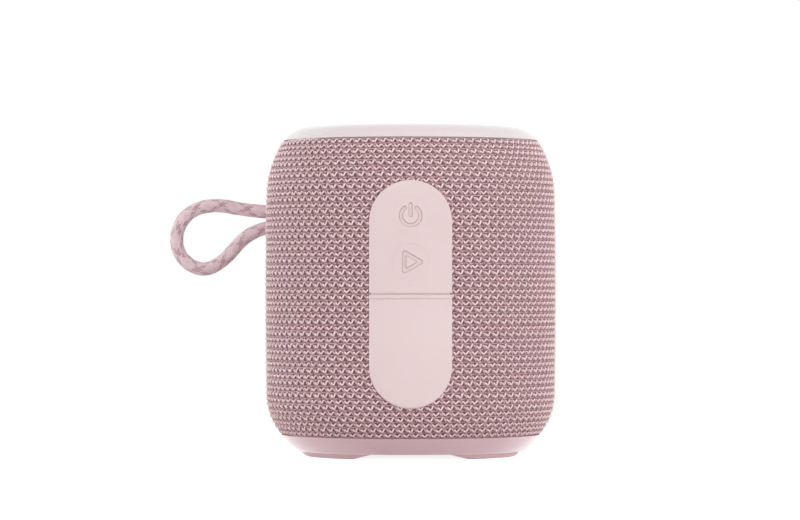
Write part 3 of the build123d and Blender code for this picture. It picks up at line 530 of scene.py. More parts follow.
STITCHES = 92
ROWS = 50
STITCH_ANGLE = tau / STITCHES
STITCH_W = BODY_R * STITCH_ANGLE
ROW_RUN = SIDE_RUN / ROWS
YARN_SIDES = 5
PANEL_HALF_W = 12.4 * MM
PANEL_MID = 49.9 * MM
PANEL_HALF_H = 34.1 * MM
ARC_RISE = PANEL_HALF_H - PANEL_HALF_W
EYELET_Y = 7 * MM
EYELET_Z = 72.7 * MM
EYELET_HALF_W = 3.7 * MM
EYELET_HALF_H = 6.2 * MM


def outside_stadium(across, up, half_w, half_h):
    """How far a point lies outside an upright outline with round ends."""
    straight = half_h - half_w
    beyond = max(abs(up) - straight, 0)
    return sqrt(across**2 + beyond**2) - half_w


def in_opening(spot, spare):
    """True where the sleeve is cut away, for the panel or for the cord's eyelet."""
    beside = spot.y - EYELET_Y
    panel_gap = outside_stadium(spot.x, spot.z - PANEL_MID, PANEL_HALF_W, PANEL_HALF_H)
    eyelet_gap = outside_stadium(beside, spot.z - EYELET_Z, EYELET_HALF_W, EYELET_HALF_H)
    return (spot.y < 0 and panel_gap < spare) or (spot.x < 0 and eyelet_gap < spare)


def piece_from(name, form, *materials, sharp=40):
    """Turns a bmesh into an object, smooth but for its sharp edges."""
    made = object_from(name, form)
    for material in materials:
        made.data.materials.append(material)
    made.data.shade_smooth()
    if sharp:
        made.data.set_sharp_from_angle(angle=radians(sharp))
    return made


def yarn_tube(form, line, radius):
    """A tube of yarn along a line, grown ring by ring from a circle."""
    rings = []
    for index, spot in enumerate(line):
        after = line[min(index + 1, len(line) - 1)]
        before = line[max(index - 1, 0)]
        along = (after - before).normalized()
        out = Vector((0, 0, 1))
        out = (out - along * out.dot(along)).normalized()
        turn = Matrix((out.cross(along), out, along)).transposed().to_4x4()
        rings.append(Matrix.Translation(spot) @ turn)
    made = bmesh.ops.create_circle(form, segments=YARN_SIDES, radius=radius, matrix=rings[0])
    edges = list(dict.fromkeys(edge for vert in made["verts"] for edge in vert.link_edges))
    for last, now in zip(rings, rings[1:]):
        grown = bmesh.ops.extrude_edge_only(form, edges=edges)["geom"]
        verts = [part for part in grown if isinstance(part, bmesh.types.BMVert)]
        edges = [
            part
            for part in grown
            if isinstance(part, bmesh.types.BMEdge) and all(v in verts for v in part.verts)
        ]
        bmesh.ops.transform(form, matrix=now @ last.inverted(), verts=verts)


# One stitch: a short left leg and a long right leg stand in a V, and the yarn dives to the next
# one. Beside it lies the head of an older loop, and below it a plain yarn that comes up twice
# between the rows. Each spot is across, up and out, in millimetres for a stitch 2.86 mm wide.
# The colour is painted shade and light: the yarn darkens where it lies deep between others and is
# palest where it stands out.
STITCH_LINE = [
    (-1.20, 0.20, -0.25),
    (-0.84, 0.20, 0.04),
    (-0.64, 0.06, 0.28),
    (-0.42, -0.16, 0.36),
    (-0.22, -0.40, 0.22),
    (0.08, -0.42, 0.20),
    (0.24, -0.18, 0.34),
    (0.40, 0.20, 0.38),
    (0.56, 0.56, 0.34),
    (0.84, 0.74, 0.06),
    (1.24, 0.50, -0.22),
    (1.66, 0.20, -0.25),
]
LEANING_LINE = [
    (-1.10, 0.06, -0.25),
    (-0.80, 0.24, 0.02),
    (-0.56, 0.18, 0.28),
    (-0.32, -0.06, 0.34),
    (-0.10, -0.36, 0.24),
    (0.12, -0.40, 0.22),
    (0.36, -0.14, 0.34),
    (0.62, 0.14, 0.36),
    (0.84, 0.38, 0.28),
    (1.12, 0.46, 0.00),
    (1.44, 0.24, -0.24),
    (1.76, 0.06, -0.25),
]
HEAD_LINE = [
    (1.20, 0.42, -0.10),
    (1.40, 0.24, 0.06),
    (1.66, -0.02, 0.12),
    (1.92, -0.28, 0.04),
    (2.10, -0.44, -0.16),
]
LOW_HEAD_LINE = [(across, up - 0.1, out) for across, up, out in HEAD_LINE]
SHADED_LAID_LINE = [
    (-1.43, -0.82, 0.06),
    (-0.95, -0.92, -0.16),
    (-0.10, -0.98, -0.14),
    (0.50, -1.02, 0.10),
    (0.95, -0.92, -0.16),
    (1.43, -0.82, 0.06),
]
LAID_LINE = [
    (-1.43, -0.94, 0.08),
    (-0.50, -0.88, -0.06),
    (0.50, -0.96, 0.08),
    (1.43, -0.94, 0.08),
]
DRAWN_W = 2.86 * MM
YARN_BED = 0.68 * MM
DEEP_OUT = 0.06
PROUD_OUT = 0.54
WANDER = 0.09 * MM
WANDERS_PER_METRE = 900
CUT_SPARE = 0.05 * MM


def knit_row(row, strands, shift):
    """One row of stitches round the drum, as a bmesh whose verts carry the yarn's painted shade.

    Above the last row only a laid yarn follows, along the hem.
    """
    form = bmesh.new()
    painted_depth_shade = form.verts.layers.float.new("painted_depth_shade")
    if row == ROWS:
        strands = strands[-1:]
    for line, thick, deep_painted_shade, proud_painted_shade in strands:
        known = set(form.verts)
        yarn_tube(form, [Vector((x * STITCH_W / DRAWN_W, y, z)) * MM for x, y, z in line], thick)
        for vert in form.verts:
            if vert not in known:
                share = (vert.co.z / MM - DEEP_OUT) / (PROUD_OUT - DEEP_OUT)
                vert[painted_depth_shade] = deep_painted_shade + (proud_painted_shade - deep_painted_shade) * min(max(share, 0), 1)
    for vert in form.verts:
        r, height, tilt = drum_side((row + 0.5) * ROW_RUN + vert.co.y)
        proud = vert.co.z - YARN_BED
        angle = vert.co.x / BODY_R + shift * STITCH_ANGLE
        out = r + proud * cos(tilt)
        vert.co = (out * sin(angle), -out * cos(angle), height + proud * sin(tilt))
    bmesh.ops.spin(
        form,
        geom=form.verts[:] + form.edges[:] + form.faces[:],
        cent=(0, 0, 0),
        axis=(0, 0, 1),
        dvec=(0, 0, 0),
        angle=tau - STITCH_ANGLE,
        steps=STITCHES - 1,
        use_duplicate=True,
    )
    bmesh.ops.remove_doubles(form, verts=form.verts, dist=0.01 * MM)
    return form


def knit_rows(name, rows, strands, shift, material):
    """Every second row of stitches over a stretch of the drum, as one piece."""
    cloth = bmesh.new()
    cloth.verts.layers.float.new("painted_depth_shade")
    row_mesh = bpy.data.meshes.new("row")
    for row in rows:
        form = knit_row(row, strands, shift)
        form.to_mesh(row_mesh)
        form.free()
        cloth.from_mesh(row_mesh)
    bpy.data.meshes.remove(row_mesh)
    for vert in cloth.verts:
        vert.co += noise.noise_vector(vert.co * WANDERS_PER_METRE) * WANDER
    cut = [face for face in cloth.faces if in_opening(face.calc_center_median(), CUT_SPARE)]
    bmesh.ops.delete(cloth, geom=cut, context="FACES")
    bmesh.ops.recalc_face_normals(cloth, faces=cloth.faces)
    made = piece_from(name, cloth, material, sharp=None)
    return install(made, "root", "knitted_sleeve")


FIBRE_SIZE = 0.5 * MM
FIBRE_DRIFT = 0.22


def knit_yarn(name, dark, light):
    """Dyed polyester yarn, matt, with painted shade and light: pale where it stands out, dusky
    where it dives between others.

    The fine unevenness of its filaments is drawn coarser than it is, at about half a millimetre.
    """
    material, shader = finish(name, 0.85, light, Specular_IOR_Level=0.25)
    place = add(material, "ShaderNodeTexCoord")
    fibres = add(
        material,
        "ShaderNodeTexNoise",
        inputs={"Vector": place.outputs["Object"], "Scale": 1 / FIBRE_SIZE, "Detail": 2.0},
    )
    painted_shade_attribute = add(material, "ShaderNodeAttribute", {"attribute_name": "painted_depth_shade"})
    drift = add(
        material,
        "ShaderNodeMapRange",
        inputs={
            "Value": fibres.outputs["Fac"],
            "From Min": 0.3,
            "From Max": 0.7,
            "To Min": -FIBRE_DRIFT,
            "To Max": FIBRE_DRIFT,
        },
    )
    share = add(
        material,
        "ShaderNodeMath",
        {"operation": "ADD", "use_clamp": True},
        {0: painted_shade_attribute.outputs["Fac"], 1: drift.outputs["Result"]},
    )
    mix = add(
        material,
        "ShaderNodeMix",
        {"data_type": "RGBA"},
        {0: share.outputs[0], 6: linear(dark), 7: linear(light)},
    )
    material.node_tree.links.new(mix.outputs[2], shader.inputs["Base Color"])
    return material


# The pale ends are painted light and the dusky ends painted shade; the low rows' yarn is a touch
# darker, painted shade for rows that lie lower.
proud_yarn = knit_yarn("knit_yarn_proud", "#9a7074", "#ffe8e9")
low_yarn = knit_yarn("knit_yarn_low", "#986e72", "#ffe4e6")
# The backing yarn is a darker mauve that stands partly for the shade in the gaps between the loops:
# painted shade.
backing_yarn = knit_yarn("knit_backing_yarn", "#825e64", "#b0888b")

# Each strand has its line, its radius, and its painted shade where it lies deep and where it stands
# out; strands that lie between others are painted darker.
PROUD_STRANDS = (
    (STITCH_LINE, 0.29 * MM, 0.36, 1.0),
    (HEAD_LINE, 0.38 * MM, 0.22, 0.62),
    (SHADED_LAID_LINE, 0.36 * MM, 0.12, 0.58),
)
LOW_STRANDS = (
    (LEANING_LINE, 0.28 * MM, 0.36, 1.0),
    (LOW_HEAD_LINE, 0.36 * MM, 0.22, 0.62),
    (LAID_LINE, 0.26 * MM, 0.15, 0.52),
)
THIRDS = ((0, 16, "lower"), (16, 34, "middle"), (34, ROWS, "upper"))
for first, last, level in THIRDS:
    proud_rows = range(first + 1, last, 2)
    low_rows = range(first, last + 1 if last == ROWS else last, 2)
    knit_rows(f"knit_proud_{level}", proud_rows, PROUD_STRANDS, 0.0, proud_yarn)
    knit_rows(f"knit_low_{level}", low_rows, LOW_STRANDS, 0.5, low_yarn)


def turned_shell(outline, steps=128):
    """A surface spun about the drum's axis from (radius, height) points."""
    form = bmesh.new()
    verts = [form.verts.new((0, -r, z)) for r, z in outline]
    edges = [form.edges.new(pair) for pair in zip(verts, verts[1:])]
    bmesh.ops.spin(
        form,
        geom=verts + edges,
        cent=(0, 0, 0),
        axis=(0, 0, 1),
        dvec=(0, 0, 0),
        angle=tau,
        steps=steps,
        use_merge=True,
    )
    bmesh.ops.remove_doubles(form, verts=form.verts, dist=0.001 * MM)
    bmesh.ops.recalc_face_normals(form, faces=form.faces)
    return form


def carve(form, tool, operation="DIFFERENCE"):
    """Cuts one closed bmesh with another, or joins them, and returns the result."""
    blank = object_from("blank", form)
    cutter = object_from("cutter", tool)
    boolean = blank.modifiers.new("carve", "BOOLEAN")
    boolean.operation = operation
    boolean.solver = "EXACT"
    boolean.object = cutter
    result = bpy.data.meshes.new_from_object(
        blank.evaluated_get(bpy.context.evaluated_depsgraph_get())
    )
    carved = bmesh.new()
    carved.from_mesh(result)
    for used in (blank, cutter):
        bpy.data.objects.remove(used)
    bpy.data.meshes.remove(result)
    return carved


def prism(corners, push):
    """A closed solid: a flat face pushed along a vector."""
    form = bmesh.new()
    face = form.faces.new([form.verts.new(corner) for corner in corners])
    grown = bmesh.ops.extrude_face_region(form, geom=[face])["geom"]
    moved = [part for part in grown if isinstance(part, bmesh.types.BMVert)]
    bmesh.ops.translate(form, verts=moved, vec=push)
    bmesh.ops.recalc_face_normals(form, faces=form.faces)
    return form


def stadium(half_w, half_h, steps=48):
    """An upright outline with round ends, as (across, up) about its middle."""
    corners = []
    for end in (1, -1):
        for step in range(steps + 1):
            angle = pi * step / steps
            rise = half_h - half_w + half_w * sin(angle)
            corners.append((end * half_w * cos(angle), end * rise))
    return corners


BACKING_OUT = 0.55 * MM
BACKING_IN = 1.05 * MM
HOLE_START = -0.06
HOLE_DEPTH = 0.04
outline = []
for inset, order in ((BACKING_OUT, range(ROWS + 1)), (BACKING_IN, range(ROWS, -1, -1))):
    for row in order:
        r, height, tilt = drum_side(row * ROW_RUN)
        outline.append((r - inset * cos(tilt), height - inset * sin(tilt)))
outline.append(outline[0])
backing = turned_shell(outline, STITCHES)
panel_outline = stadium(PANEL_HALF_W, PANEL_HALF_H)
panel_hole = [(x, HOLE_START, PANEL_MID + up) for x, up in panel_outline]
backing = carve(backing, prism(panel_hole, (0, HOLE_DEPTH, 0)))
eyelet_outline = stadium(EYELET_HALF_W, EYELET_HALF_H)
eyelet_hole = [(HOLE_START, EYELET_Y + y, EYELET_Z + up) for y, up in eyelet_outline]
backing = carve(backing, prism(eyelet_hole, (HOLE_DEPTH, 0, 0)))
sleeve = piece_from("sleeve_backing", backing, backing_yarn)
install(sleeve, "root", "knitted_sleeve", "fabric_sleeve")

# ---- Top cap ----
# Injection-moulded ABS in the sleeve's pink, satin, with a rounded shoulder. It plugs into the
# housing with a seal, and its rim closes the sleeve's upper edge.


def pink_plastic(name, dark, light, coat, roughness=0.32):
    """Satin-moulded ABS: smooth, slightly milky, with broad pale highlights."""
    gloss = {"Coat_Weight": coat, "Coat_IOR": 1.6, "Coat_Roughness": 0.15}
    material, shader = finish(name, roughness, light, IOR=1.5, **gloss)
    place = mottle(material, shader, dark, light, 30 * MM)
    grain(material, shader, place, 0.3 * MM, 0.004 * MM)
    return material


cap_low, cap_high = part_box("top_cap")
CAP_TOP = cap_high.z
CAP_RIM_R = cap_high.x
CAP_RIM_Z = 97.05 * MM
CAP_RIM_ROUND = 0.2 * MM
CAP_SHOULDER_R = 35.6 * MM
CAP_SHOULDER_Z = 100.15 * MM
CAP_FLAT_R = 31 * MM
CAP_CROWN_R = CAP_FLAT_R - 8 * MM
CAP_SKIN = 2 * MM
CAP_TUCK_R = CAP_RIM_R - 0.9 * MM
CAP_TUCK_Z = CAP_RIM_Z - 1.9 * MM
CAP_PLUG_R = CAP_RIM_R - 2.7 * MM
CAP_BORE_R = CAP_RIM_R - 4.9 * MM
ROUND_PARTS = 192


def arc_between(start, end, bulge, steps):
    """Points on a shallow arc from one (radius, height) to another, bulging to its right."""
    start, end = Vector(start), Vector(end)
    chord = end - start
    normal = Vector((chord.y, -chord.x)).normalized()
    points = []
    for index in range(steps + 1):
        share = index / steps
        points.append(start + chord * share + normal * bulge * 4 * share * (1 - share))
    return points


rim_face = (CAP_RIM_R, CAP_RIM_Z + CAP_RIM_ROUND)
shoulder = (CAP_SHOULDER_R, CAP_SHOULDER_Z)
cap_outline = [
    (CAP_PLUG_R, cap_low.z),
    (CAP_PLUG_R, CAP_TUCK_Z),
    (CAP_TUCK_R, CAP_TUCK_Z),
    (CAP_TUCK_R, CAP_RIM_Z),
    *arc_between((CAP_RIM_R - CAP_RIM_ROUND, CAP_RIM_Z), rim_face, 0.04 * MM, 3),
    *arc_between(rim_face, shoulder, 0.12 * MM, 10)[1:],
    *arc_between(shoulder, (CAP_FLAT_R, CAP_TOP), 0.22 * MM, 10)[1:],
    (CAP_CROWN_R, CAP_TOP),
    (0, CAP_TOP),
    (0, CAP_TOP - CAP_SKIN),
    (CAP_BORE_R, CAP_TOP - CAP_SKIN),
    (CAP_BORE_R, cap_low.z),
    (CAP_PLUG_R, cap_low.z),
]
# One plastic with the base, but coloured paler here: painted light, for the light that falls on the
# cap's top.
cap_plastic_painted_light = pink_plastic("satin_pink_abs_cap_painted_light", "#dfd0d1", "#e3d6d7", 1.0)
cap = piece_from("cap", turned_shell(cap_outline, ROUND_PARTS), cap_plastic_painted_light, sharp=35)
install(cap, "root", "moulded_pink_plastic", "top_cap")

# ---- Base and feet ----
# The same moulded plastic, tapered inwards, with a floor that carries the radiator. Two soft
# rubber feet are bonded under it and leave a vent between them, front and back.
BASE_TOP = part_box("base_shell")[1].z
BASE_RIM = Vector((40.05, 6.75)) * MM
BASE_RIM_ROUND = 0.15 * MM
BASE_BULGE = 0.35 * MM
BASE_UNDER = Vector((35.0, 1.6)) * MM
BASE_UNDER_Z = 1.6 * MM
BASE_UNDER_R = 34.6 * MM
BASE_TUCK_R = 39.0 * MM
BASE_TUCK_Z = 8.5 * MM
BASE_PLUG_R = BASE_RIM.x - 2.6 * MM
BASE_BORE_R = 35 * MM
RADIATOR_HOLE_R = 20.5 * MM
FLOOR_TOP = 3.6 * MM
base_outline = [
    (BASE_PLUG_R, BASE_TOP),
    (BASE_PLUG_R, BASE_TUCK_Z),
    (BASE_TUCK_R, BASE_TUCK_Z),
    (BASE_TUCK_R, BASE_RIM.y),
    (BASE_RIM.x - BASE_RIM_ROUND, BASE_RIM.y),
    *arc_between((BASE_RIM.x, BASE_RIM.y - BASE_RIM_ROUND), BASE_UNDER, -BASE_BULGE, 16),
    (BASE_UNDER_R, BASE_UNDER_Z),
    (RADIATOR_HOLE_R, BASE_UNDER_Z),
    (RADIATOR_HOLE_R, FLOOR_TOP),
    (BASE_BORE_R, FLOOR_TOP),
    (BASE_BORE_R, BASE_TOP),
    (BASE_PLUG_R, BASE_TOP),
]
# The base is coloured darker than the cap, though it is the same plastic: painted shade, for it
# faces down, away from the light.
base_plastic_painted_shade = pink_plastic("satin_pink_abs_base_painted_shade", "#bf9aa0", "#c5a2a8", 1.0)
base = piece_from("base", turned_shell(base_outline, ROUND_PARTS), base_plastic_painted_shade, sharp=35)
install(base, "root", "moulded_pink_plastic", "base_shell")

FOOT_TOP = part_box("foot_right")[1].z
FOOT_IN_R = 27 * MM
FOOT_FACE_R = 32.3 * MM
FOOT_OUT_R = 35 * MM
FOOT_TREAD_Z = 0.25 * MM
FOOT_ROUND = 0.3 * MM
VENT_LOW_HALF = 17.5 * MM
VENT_HIGH_HALF = 9.1 * MM
VENT_SPARE = 1 * MM
VENT_REACH = 0.06
foot_outline = [
    (FOOT_IN_R, 0),
    (FOOT_FACE_R - FOOT_ROUND, 0),
    (FOOT_FACE_R + FOOT_ROUND, FOOT_TREAD_Z),
    (FOOT_OUT_R, FOOT_TOP),
    (FOOT_IN_R, FOOT_TOP),
    (FOOT_IN_R, 0),
]
slope = (VENT_LOW_HALF - VENT_HIGH_HALF) / FOOT_TOP
low_half = VENT_LOW_HALF + slope * VENT_SPARE
high_half = VENT_HIGH_HALF - slope * VENT_SPARE
vent_corners = [
    (-low_half, -VENT_REACH, -VENT_SPARE),
    (low_half, -VENT_REACH, -VENT_SPARE),
    (high_half, -VENT_REACH, FOOT_TOP + VENT_SPARE),
    (-high_half, -VENT_REACH, FOOT_TOP + VENT_SPARE),
]
vent = prism(vent_corners, (0, 2 * VENT_REACH, 0))
feet = carve(turned_shell(foot_outline, ROUND_PARTS), vent)
# The feet's rubber is coloured much paler than the base: painted light, to make up for the shade
# under the drum.
foot_rubber = moulded("pink_moulded_rubber_painted_light", "#f2d2d7", "#f7d8dd", 0.6, 0.3, 0.01)
for side_name, keep in (("left", -1), ("right", 1)):
    half = feet.copy()
    gone = [vert for vert in half.verts if vert.co.x * keep < 0]
    bmesh.ops.delete(half, geom=gone, context="VERTS")
    foot = piece_from(f"foot_pad_{side_name}", half, foot_rubber, sharp=35)
    soften = foot.modifiers.new("soft_edges", "BEVEL")
    soften.width = 0.2 * MM
    soften.segments = 2
    soften.limit_method = "ANGLE"
    install(foot, "root", "foot_rubber", f"foot_{side_name}")
feet.free()

# ---- Bass radiator ----
# A moulded ABS plate on a black rubber half roll, clamped in the floor of the base. A steel weight
# on the plate's back tunes it.
ROLL_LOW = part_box("radiator_surround")[0].z
ROLL_IN_R = 14.5 * MM
ROLL_OUT_R = 26 * MM
ROLL_MID = 18.4 * MM
ROLL_R = 2.2 * MM
ROLL_T = 0.25 * MM
ROLL_THIN = 0.1 * MM
FLANGE_TOP = ROLL_LOW + 0.6 * MM
ROLL_STEPS = 12
RADIATOR_PARTS = 96
roll_outline = [(ROLL_IN_R, ROLL_LOW), (ROLL_MID - ROLL_R, ROLL_LOW)]
for index in range(1, ROLL_STEPS):
    angle = pi - pi * index / ROLL_STEPS
    inner_r = ROLL_MID + (ROLL_R - ROLL_T) * cos(angle)
    roll_outline.append((inner_r, ROLL_LOW + ROLL_R * sin(angle)))
roll_outline += [(ROLL_MID + ROLL_R, ROLL_LOW), (ROLL_OUT_R, ROLL_LOW), (ROLL_OUT_R, FLANGE_TOP)]
for index in range(ROLL_STEPS + 1):
    angle = pi * index / ROLL_STEPS
    outer_r = ROLL_MID + (ROLL_R + ROLL_T) * cos(angle)
    roll_outline.append((outer_r, FLANGE_TOP + (ROLL_R - ROLL_THIN) * sin(angle)))
roll_outline += [(ROLL_IN_R, FLANGE_TOP), (ROLL_IN_R, ROLL_LOW)]
roll_form = turned_shell(roll_outline, RADIATOR_PARTS)
roll = piece_from("radiator_roll", roll_form, black_rubber, sharp=50)
install(roll, "root", "black_rubber", "radiator_surround")

plate_low, plate_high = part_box("radiator_plate")
PLATE_R = plate_high.x
PLATE_ROUND = 0.2 * MM
PLATE_TAPER = 0.6 * MM
plate_outline = [
    (0, plate_low.z),
    (PLATE_R - PLATE_ROUND, plate_low.z),
    (PLATE_R, plate_low.z + PLATE_ROUND),
    (PLATE_R - PLATE_TAPER, plate_high.z),
    (0, plate_high.z),
]
plate_form = turned_shell(plate_outline, RADIATOR_PARTS)
plate = piece_from("radiator_disc", plate_form, black_abs, sharp=35)
install(plate, "radiator", "black_plastic", "radiator_plate")

# ---- Control panel ----
# Moulded silicone, matt and slightly soft to the touch, with rounded edges. The upper pad holds
# the two keys; the lower half is a flap over the charging port, one piece with its root, thin just
# above it where the flap bends. Each part is shaped flat, with y as its depth, then laid round the
# drum.
PANEL_PROUD = 0.5 * MM
PAD_T = 1.65 * MM
PAD_LOW = 50.3 * MM
FLAP_TOP = 49.75 * MM
LIP_Z = 48.42 * MM
LIP_DEPTH = 0.4 * MM
LIP_W = 0.2 * MM
SEAM_ROUND = 0.15 * MM
TONGUE_DEPTH = 0.4 * MM
RIM_ROUND = 0.6 * MM
KEY_R = 5.5 * MM
POWER_Z = 73.4 * MM
PLAY_Z = 59.6 * MM
STRIP_W = 0.6 * MM
STRIP_H = 2 * MM
ROUND_STEPS = 72
TINY = 1e-7


def on_front(edge):
    """True for an edge in the face of a flat part."""
    return all(abs(vert.co.y) < TINY for vert in edge.verts)


def on_seam(edge, seam):
    """True for an edge of that face along the straight seam between pad and flap."""
    return on_front(edge) and all(abs(vert.co.z - seam) < TINY for vert in edge.verts)


def round_edges(form, edges, offset, segments):
    """Rounds some edges of a flat part."""
    bmesh.ops.bevel(
        form,
        geom=edges,
        offset=offset,
        offset_type="OFFSET",
        segments=segments,
        profile=0.5,
        affect="EDGES",
        material=-1,
    )


def half_panel(seam, way):
    """A flat half of the panel, from its straight seam to its round end, with soft edges."""
    middle = PANEL_MID + way * ARC_RISE
    points = [(PANEL_HALF_W, seam)]
    for step in range(ROUND_STEPS + 1):
        angle = pi * step / ROUND_STEPS
        points.append((PANEL_HALF_W * cos(angle), middle + way * PANEL_HALF_W * sin(angle)))
    points.append((-PANEL_HALF_W, seam))
    form = prism([(x, 0, z) for x, z in points], (0, PAD_T, 0))
    rim = [edge for edge in form.edges if on_front(edge) and not on_seam(edge, seam)]
    round_edges(form, rim, RIM_ROUND, 5)
    seams = [edge for edge in form.edges if on_seam(edge, seam)]
    round_edges(form, seams, SEAM_ROUND, 2)
    return form


def round_prism(radius, z, near, far, steps=96):
    """A round rod, or a hole's tool, from one depth to another."""
    angles = [tau * step / steps for step in range(steps)]
    corners = [(radius * cos(angle), near, z + radius * sin(angle)) for angle in angles]
    return prism(corners, (0, far - near, 0))


def box_prism(x, y, z):
    """A box from its two ends along each axis."""
    corners = [(x[0], y[0], z[0]), (x[1], y[0], z[0]), (x[1], y[0], z[1]), (x[0], y[0], z[1])]
    return prism(corners, (0, y[1] - y[0], 0))


def cut_through(form, place, normal):
    """Cuts the faces of a flat part along a plane, and takes nothing away."""
    bmesh.ops.bisect_plane(
        form,
        geom=form.verts[:] + form.edges[:] + form.faces[:],
        plane_co=place,
        plane_no=normal,
    )


def lay_round_drum(form):
    """Cuts a flat part in narrow strips and lays it round the drum."""
    bmesh.ops.triangulate(form, faces=form.faces[:])
    wide = max(vert.co.x for vert in form.verts)
    count = int(wide / STRIP_W)
    for index in range(-count, count + 1):
        cut_through(form, (index * STRIP_W, 0, 0), (1, 0, 0))
    highest = max(vert.co.z for vert in form.verts)
    level = min(vert.co.z for vert in form.verts) + STRIP_H
    while level < highest:
        cut_through(form, (0, 0, level), (0, 0, 1))
        level += STRIP_H
    for vert in form.verts:
        x, depth, z = vert.co
        reach = drum_radius(z) + PANEL_PROUD - depth
        vert.co = (x, -sqrt(reach**2 - x**2), z)
    bmesh.ops.remove_doubles(form, verts=form.verts, dist=0.001 * MM)
    bmesh.ops.recalc_face_normals(form, faces=form.faces)
    return form


SKIN_MATCH = 0.985


def drum_normals(piece):
    """Gives the front skin the drum's own normals, so that flat strips don't show."""
    data = piece.data
    data.update()
    normals = []
    corner_normals = data.corner_normals
    for polygon in data.polygons:
        for loop_index in polygon.loop_indices:
            spot = data.vertices[data.loops[loop_index].vertex_index].co
            tilt = 0.0
            if spot.z > TOP_CENTRE.y:
                tilt = asin((spot.z - TOP_CENTRE.y) / TOP_ARC_R)
            if spot.z < LOW_CENTRE.y:
                tilt = asin((spot.z - LOW_CENTRE.y) / LOW_ARC_R)
            level = Vector((spot.x, spot.y, 0)).normalized() * cos(tilt)
            true = Vector((level.x, level.y, sin(tilt)))
            if polygon.normal.dot(true) > SKIN_MATCH:
                normals.append(true)
            else:
                normals.append(corner_normals[loop_index].vector.copy())
    data.normals_split_custom_set(normals)


def silicone(name, dark, light):
    """Moulded silicone: matt, slightly translucent, with a fine eroded texture."""
    material, shader = finish(name, 0.55, light, IOR=1.42, Sheen_Weight=0.08)
    place = mottle(material, shader, dark, light, 25 * MM)
    grain(material, shader, place, 0.25 * MM, 0.006 * MM)
    return material


panel_silicone = silicone("pink_moulded_silicone", "#e4cfcf", "#e8d4d4")
# The same silicone a shade darker, for the walls of the engraved symbols: painted shade, as these
# walls catch less light.
icon_wall_painted_shade = silicone("pink_silicone_icon_wall_painted_shade", "#c6aaab", "#ccb0b1")

TONGUE_INSET = 0.5 * MM
TONGUE_LOW = FLAP_TOP + 0.03 * MM
TONGUE_HIGH = PAD_LOW + 1 * MM
BORE_NEAR = -2 * MM
BORE_FAR = 4 * MM
pad = half_panel(PAD_LOW, 1)
tongue_x = (-PANEL_HALF_W + TONGUE_INSET, PANEL_HALF_W - TONGUE_INSET)
tongue = box_prism(tongue_x, (TONGUE_DEPTH, PAD_T), (TONGUE_LOW, TONGUE_HIGH))
pad = carve(pad, tongue, "UNION")
for key_z in (POWER_Z, PLAY_Z):
    pad = carve(pad, round_prism(KEY_R, key_z, BORE_NEAR, BORE_FAR))
pad = piece_from("soft_pad", lay_round_drum(pad), panel_silicone, sharp=30)
drum_normals(pad)
install(pad, "root", "pink_silicone", "button_pad")

KEY_GAP = 0.02 * MM
ICON_DEPTH = 0.32 * MM
ICON_HALF = 0.525 * MM
ICON_DRAFT = 0.13 * MM
CUT_LEAD = 0.01 * MM
RING_MID_R = 2.87 * MM
RING_GAP = radians(38)
RING_STEPS = 48
BAR_LOW = -0.4 * MM
BAR_TOP = 3.8 * MM
PLAY_X = -0.2 * MM
PLAY_REACH = 4.39 * MM
PLAY_CORNER_R = 0.7 * MM
ISLAND_REACH = 2.29 * MM
ISLAND_CORNER_R = 0.22 * MM
ISLAND_SPARE = 0.02 * MM
CORNER_STEPS = 6
STEM_R = 1.6 * MM
STEM_END = -40 * MM
WALL_RIM = 0.2 * MM
WALL_EDGE = 0.03 * MM


def thick_line(points, half, end_steps=8):
    """The outline of a stroke along a line, with round ends."""
    left, right = [], []
    for index, spot in enumerate(points):
        after = points[min(index + 1, len(points) - 1)]
        before = points[max(index - 1, 0)]
        along = (after - before).normalized()
        across = Vector((-along.y, along.x)) * half
        left.append(spot + across)
        right.append(spot - across)
    ends = []
    for spot, start in ((points[-1], left[-1] - points[-1]), (points[0], right[0] - points[0])):
        turns = [Matrix.Rotation(-pi * step / end_steps, 2) for step in range(1, end_steps)]
        ends.append([spot + turn @ start for turn in turns])
    return left + ends[0] + right[::-1] + ends[1]


def rounded_triangle(reach, corner_r, x, z):
    """A triangle that points right, with round corners."""
    points = []
    for corner in range(3):
        way = tau * corner / 3
        centre = Vector((x, z)) + Vector((cos(way), sin(way))) * (reach - 2 * corner_r)
        for step in range(CORNER_STEPS + 1):
            angle = way - pi / 3 + 2 * pi / 3 * step / CORNER_STEPS
            points.append(centre + Vector((cos(angle), sin(angle))) * corner_r)
    return points


def drafted_prism(front_outline, back_outline, front, back):
    """A solid between two (x, z) outlines with the same number of points."""
    form = bmesh.new()
    rims = []
    for outline, depth in ((front_outline, front), (back_outline, back)):
        rims.append([form.verts.new((x, depth, z)) for x, z in outline])
        form.faces.new(rims[-1])
    for index in range(len(front_outline)):
        after = (index + 1) % len(front_outline)
        form.faces.new((rims[0][index], rims[0][after], rims[1][after], rims[1][index]))
    bmesh.ops.recalc_face_normals(form, faces=form.faces)
    return form


def stroke_tool(points):
    """What a stroke of an icon takes out of a key: wide at the face, narrower at its floor."""
    wide = ICON_HALF + ICON_DRAFT
    narrow = ICON_HALF - ICON_DRAFT
    return drafted_prism(thick_line(points, wide), thick_line(points, narrow), 0, ICON_DEPTH)


def raised(tool):
    """Lets a tool start a little in front of the face, so that the cut is clean."""
    for vert in tool.verts:
        if vert.co.y == 0:
            vert.co.y = -CUT_LEAD
    return tool


ring_line = []
for step in range(RING_STEPS + 1):
    angle = pi / 2 + RING_GAP + (tau - 2 * RING_GAP) * step / RING_STEPS
    ring_line.append(Vector((RING_MID_R * cos(angle), POWER_Z + RING_MID_R * sin(angle))))
bar_line = [Vector((0, POWER_Z + BAR_LOW + ICON_HALF)), Vector((0, POWER_Z + BAR_TOP - ICON_HALF))]
power = round_prism(KEY_R - KEY_GAP, POWER_Z, 0, PAD_T)
power = carve(power, raised(stroke_tool(ring_line)))
power = carve(power, raised(stroke_tool(bar_line)))

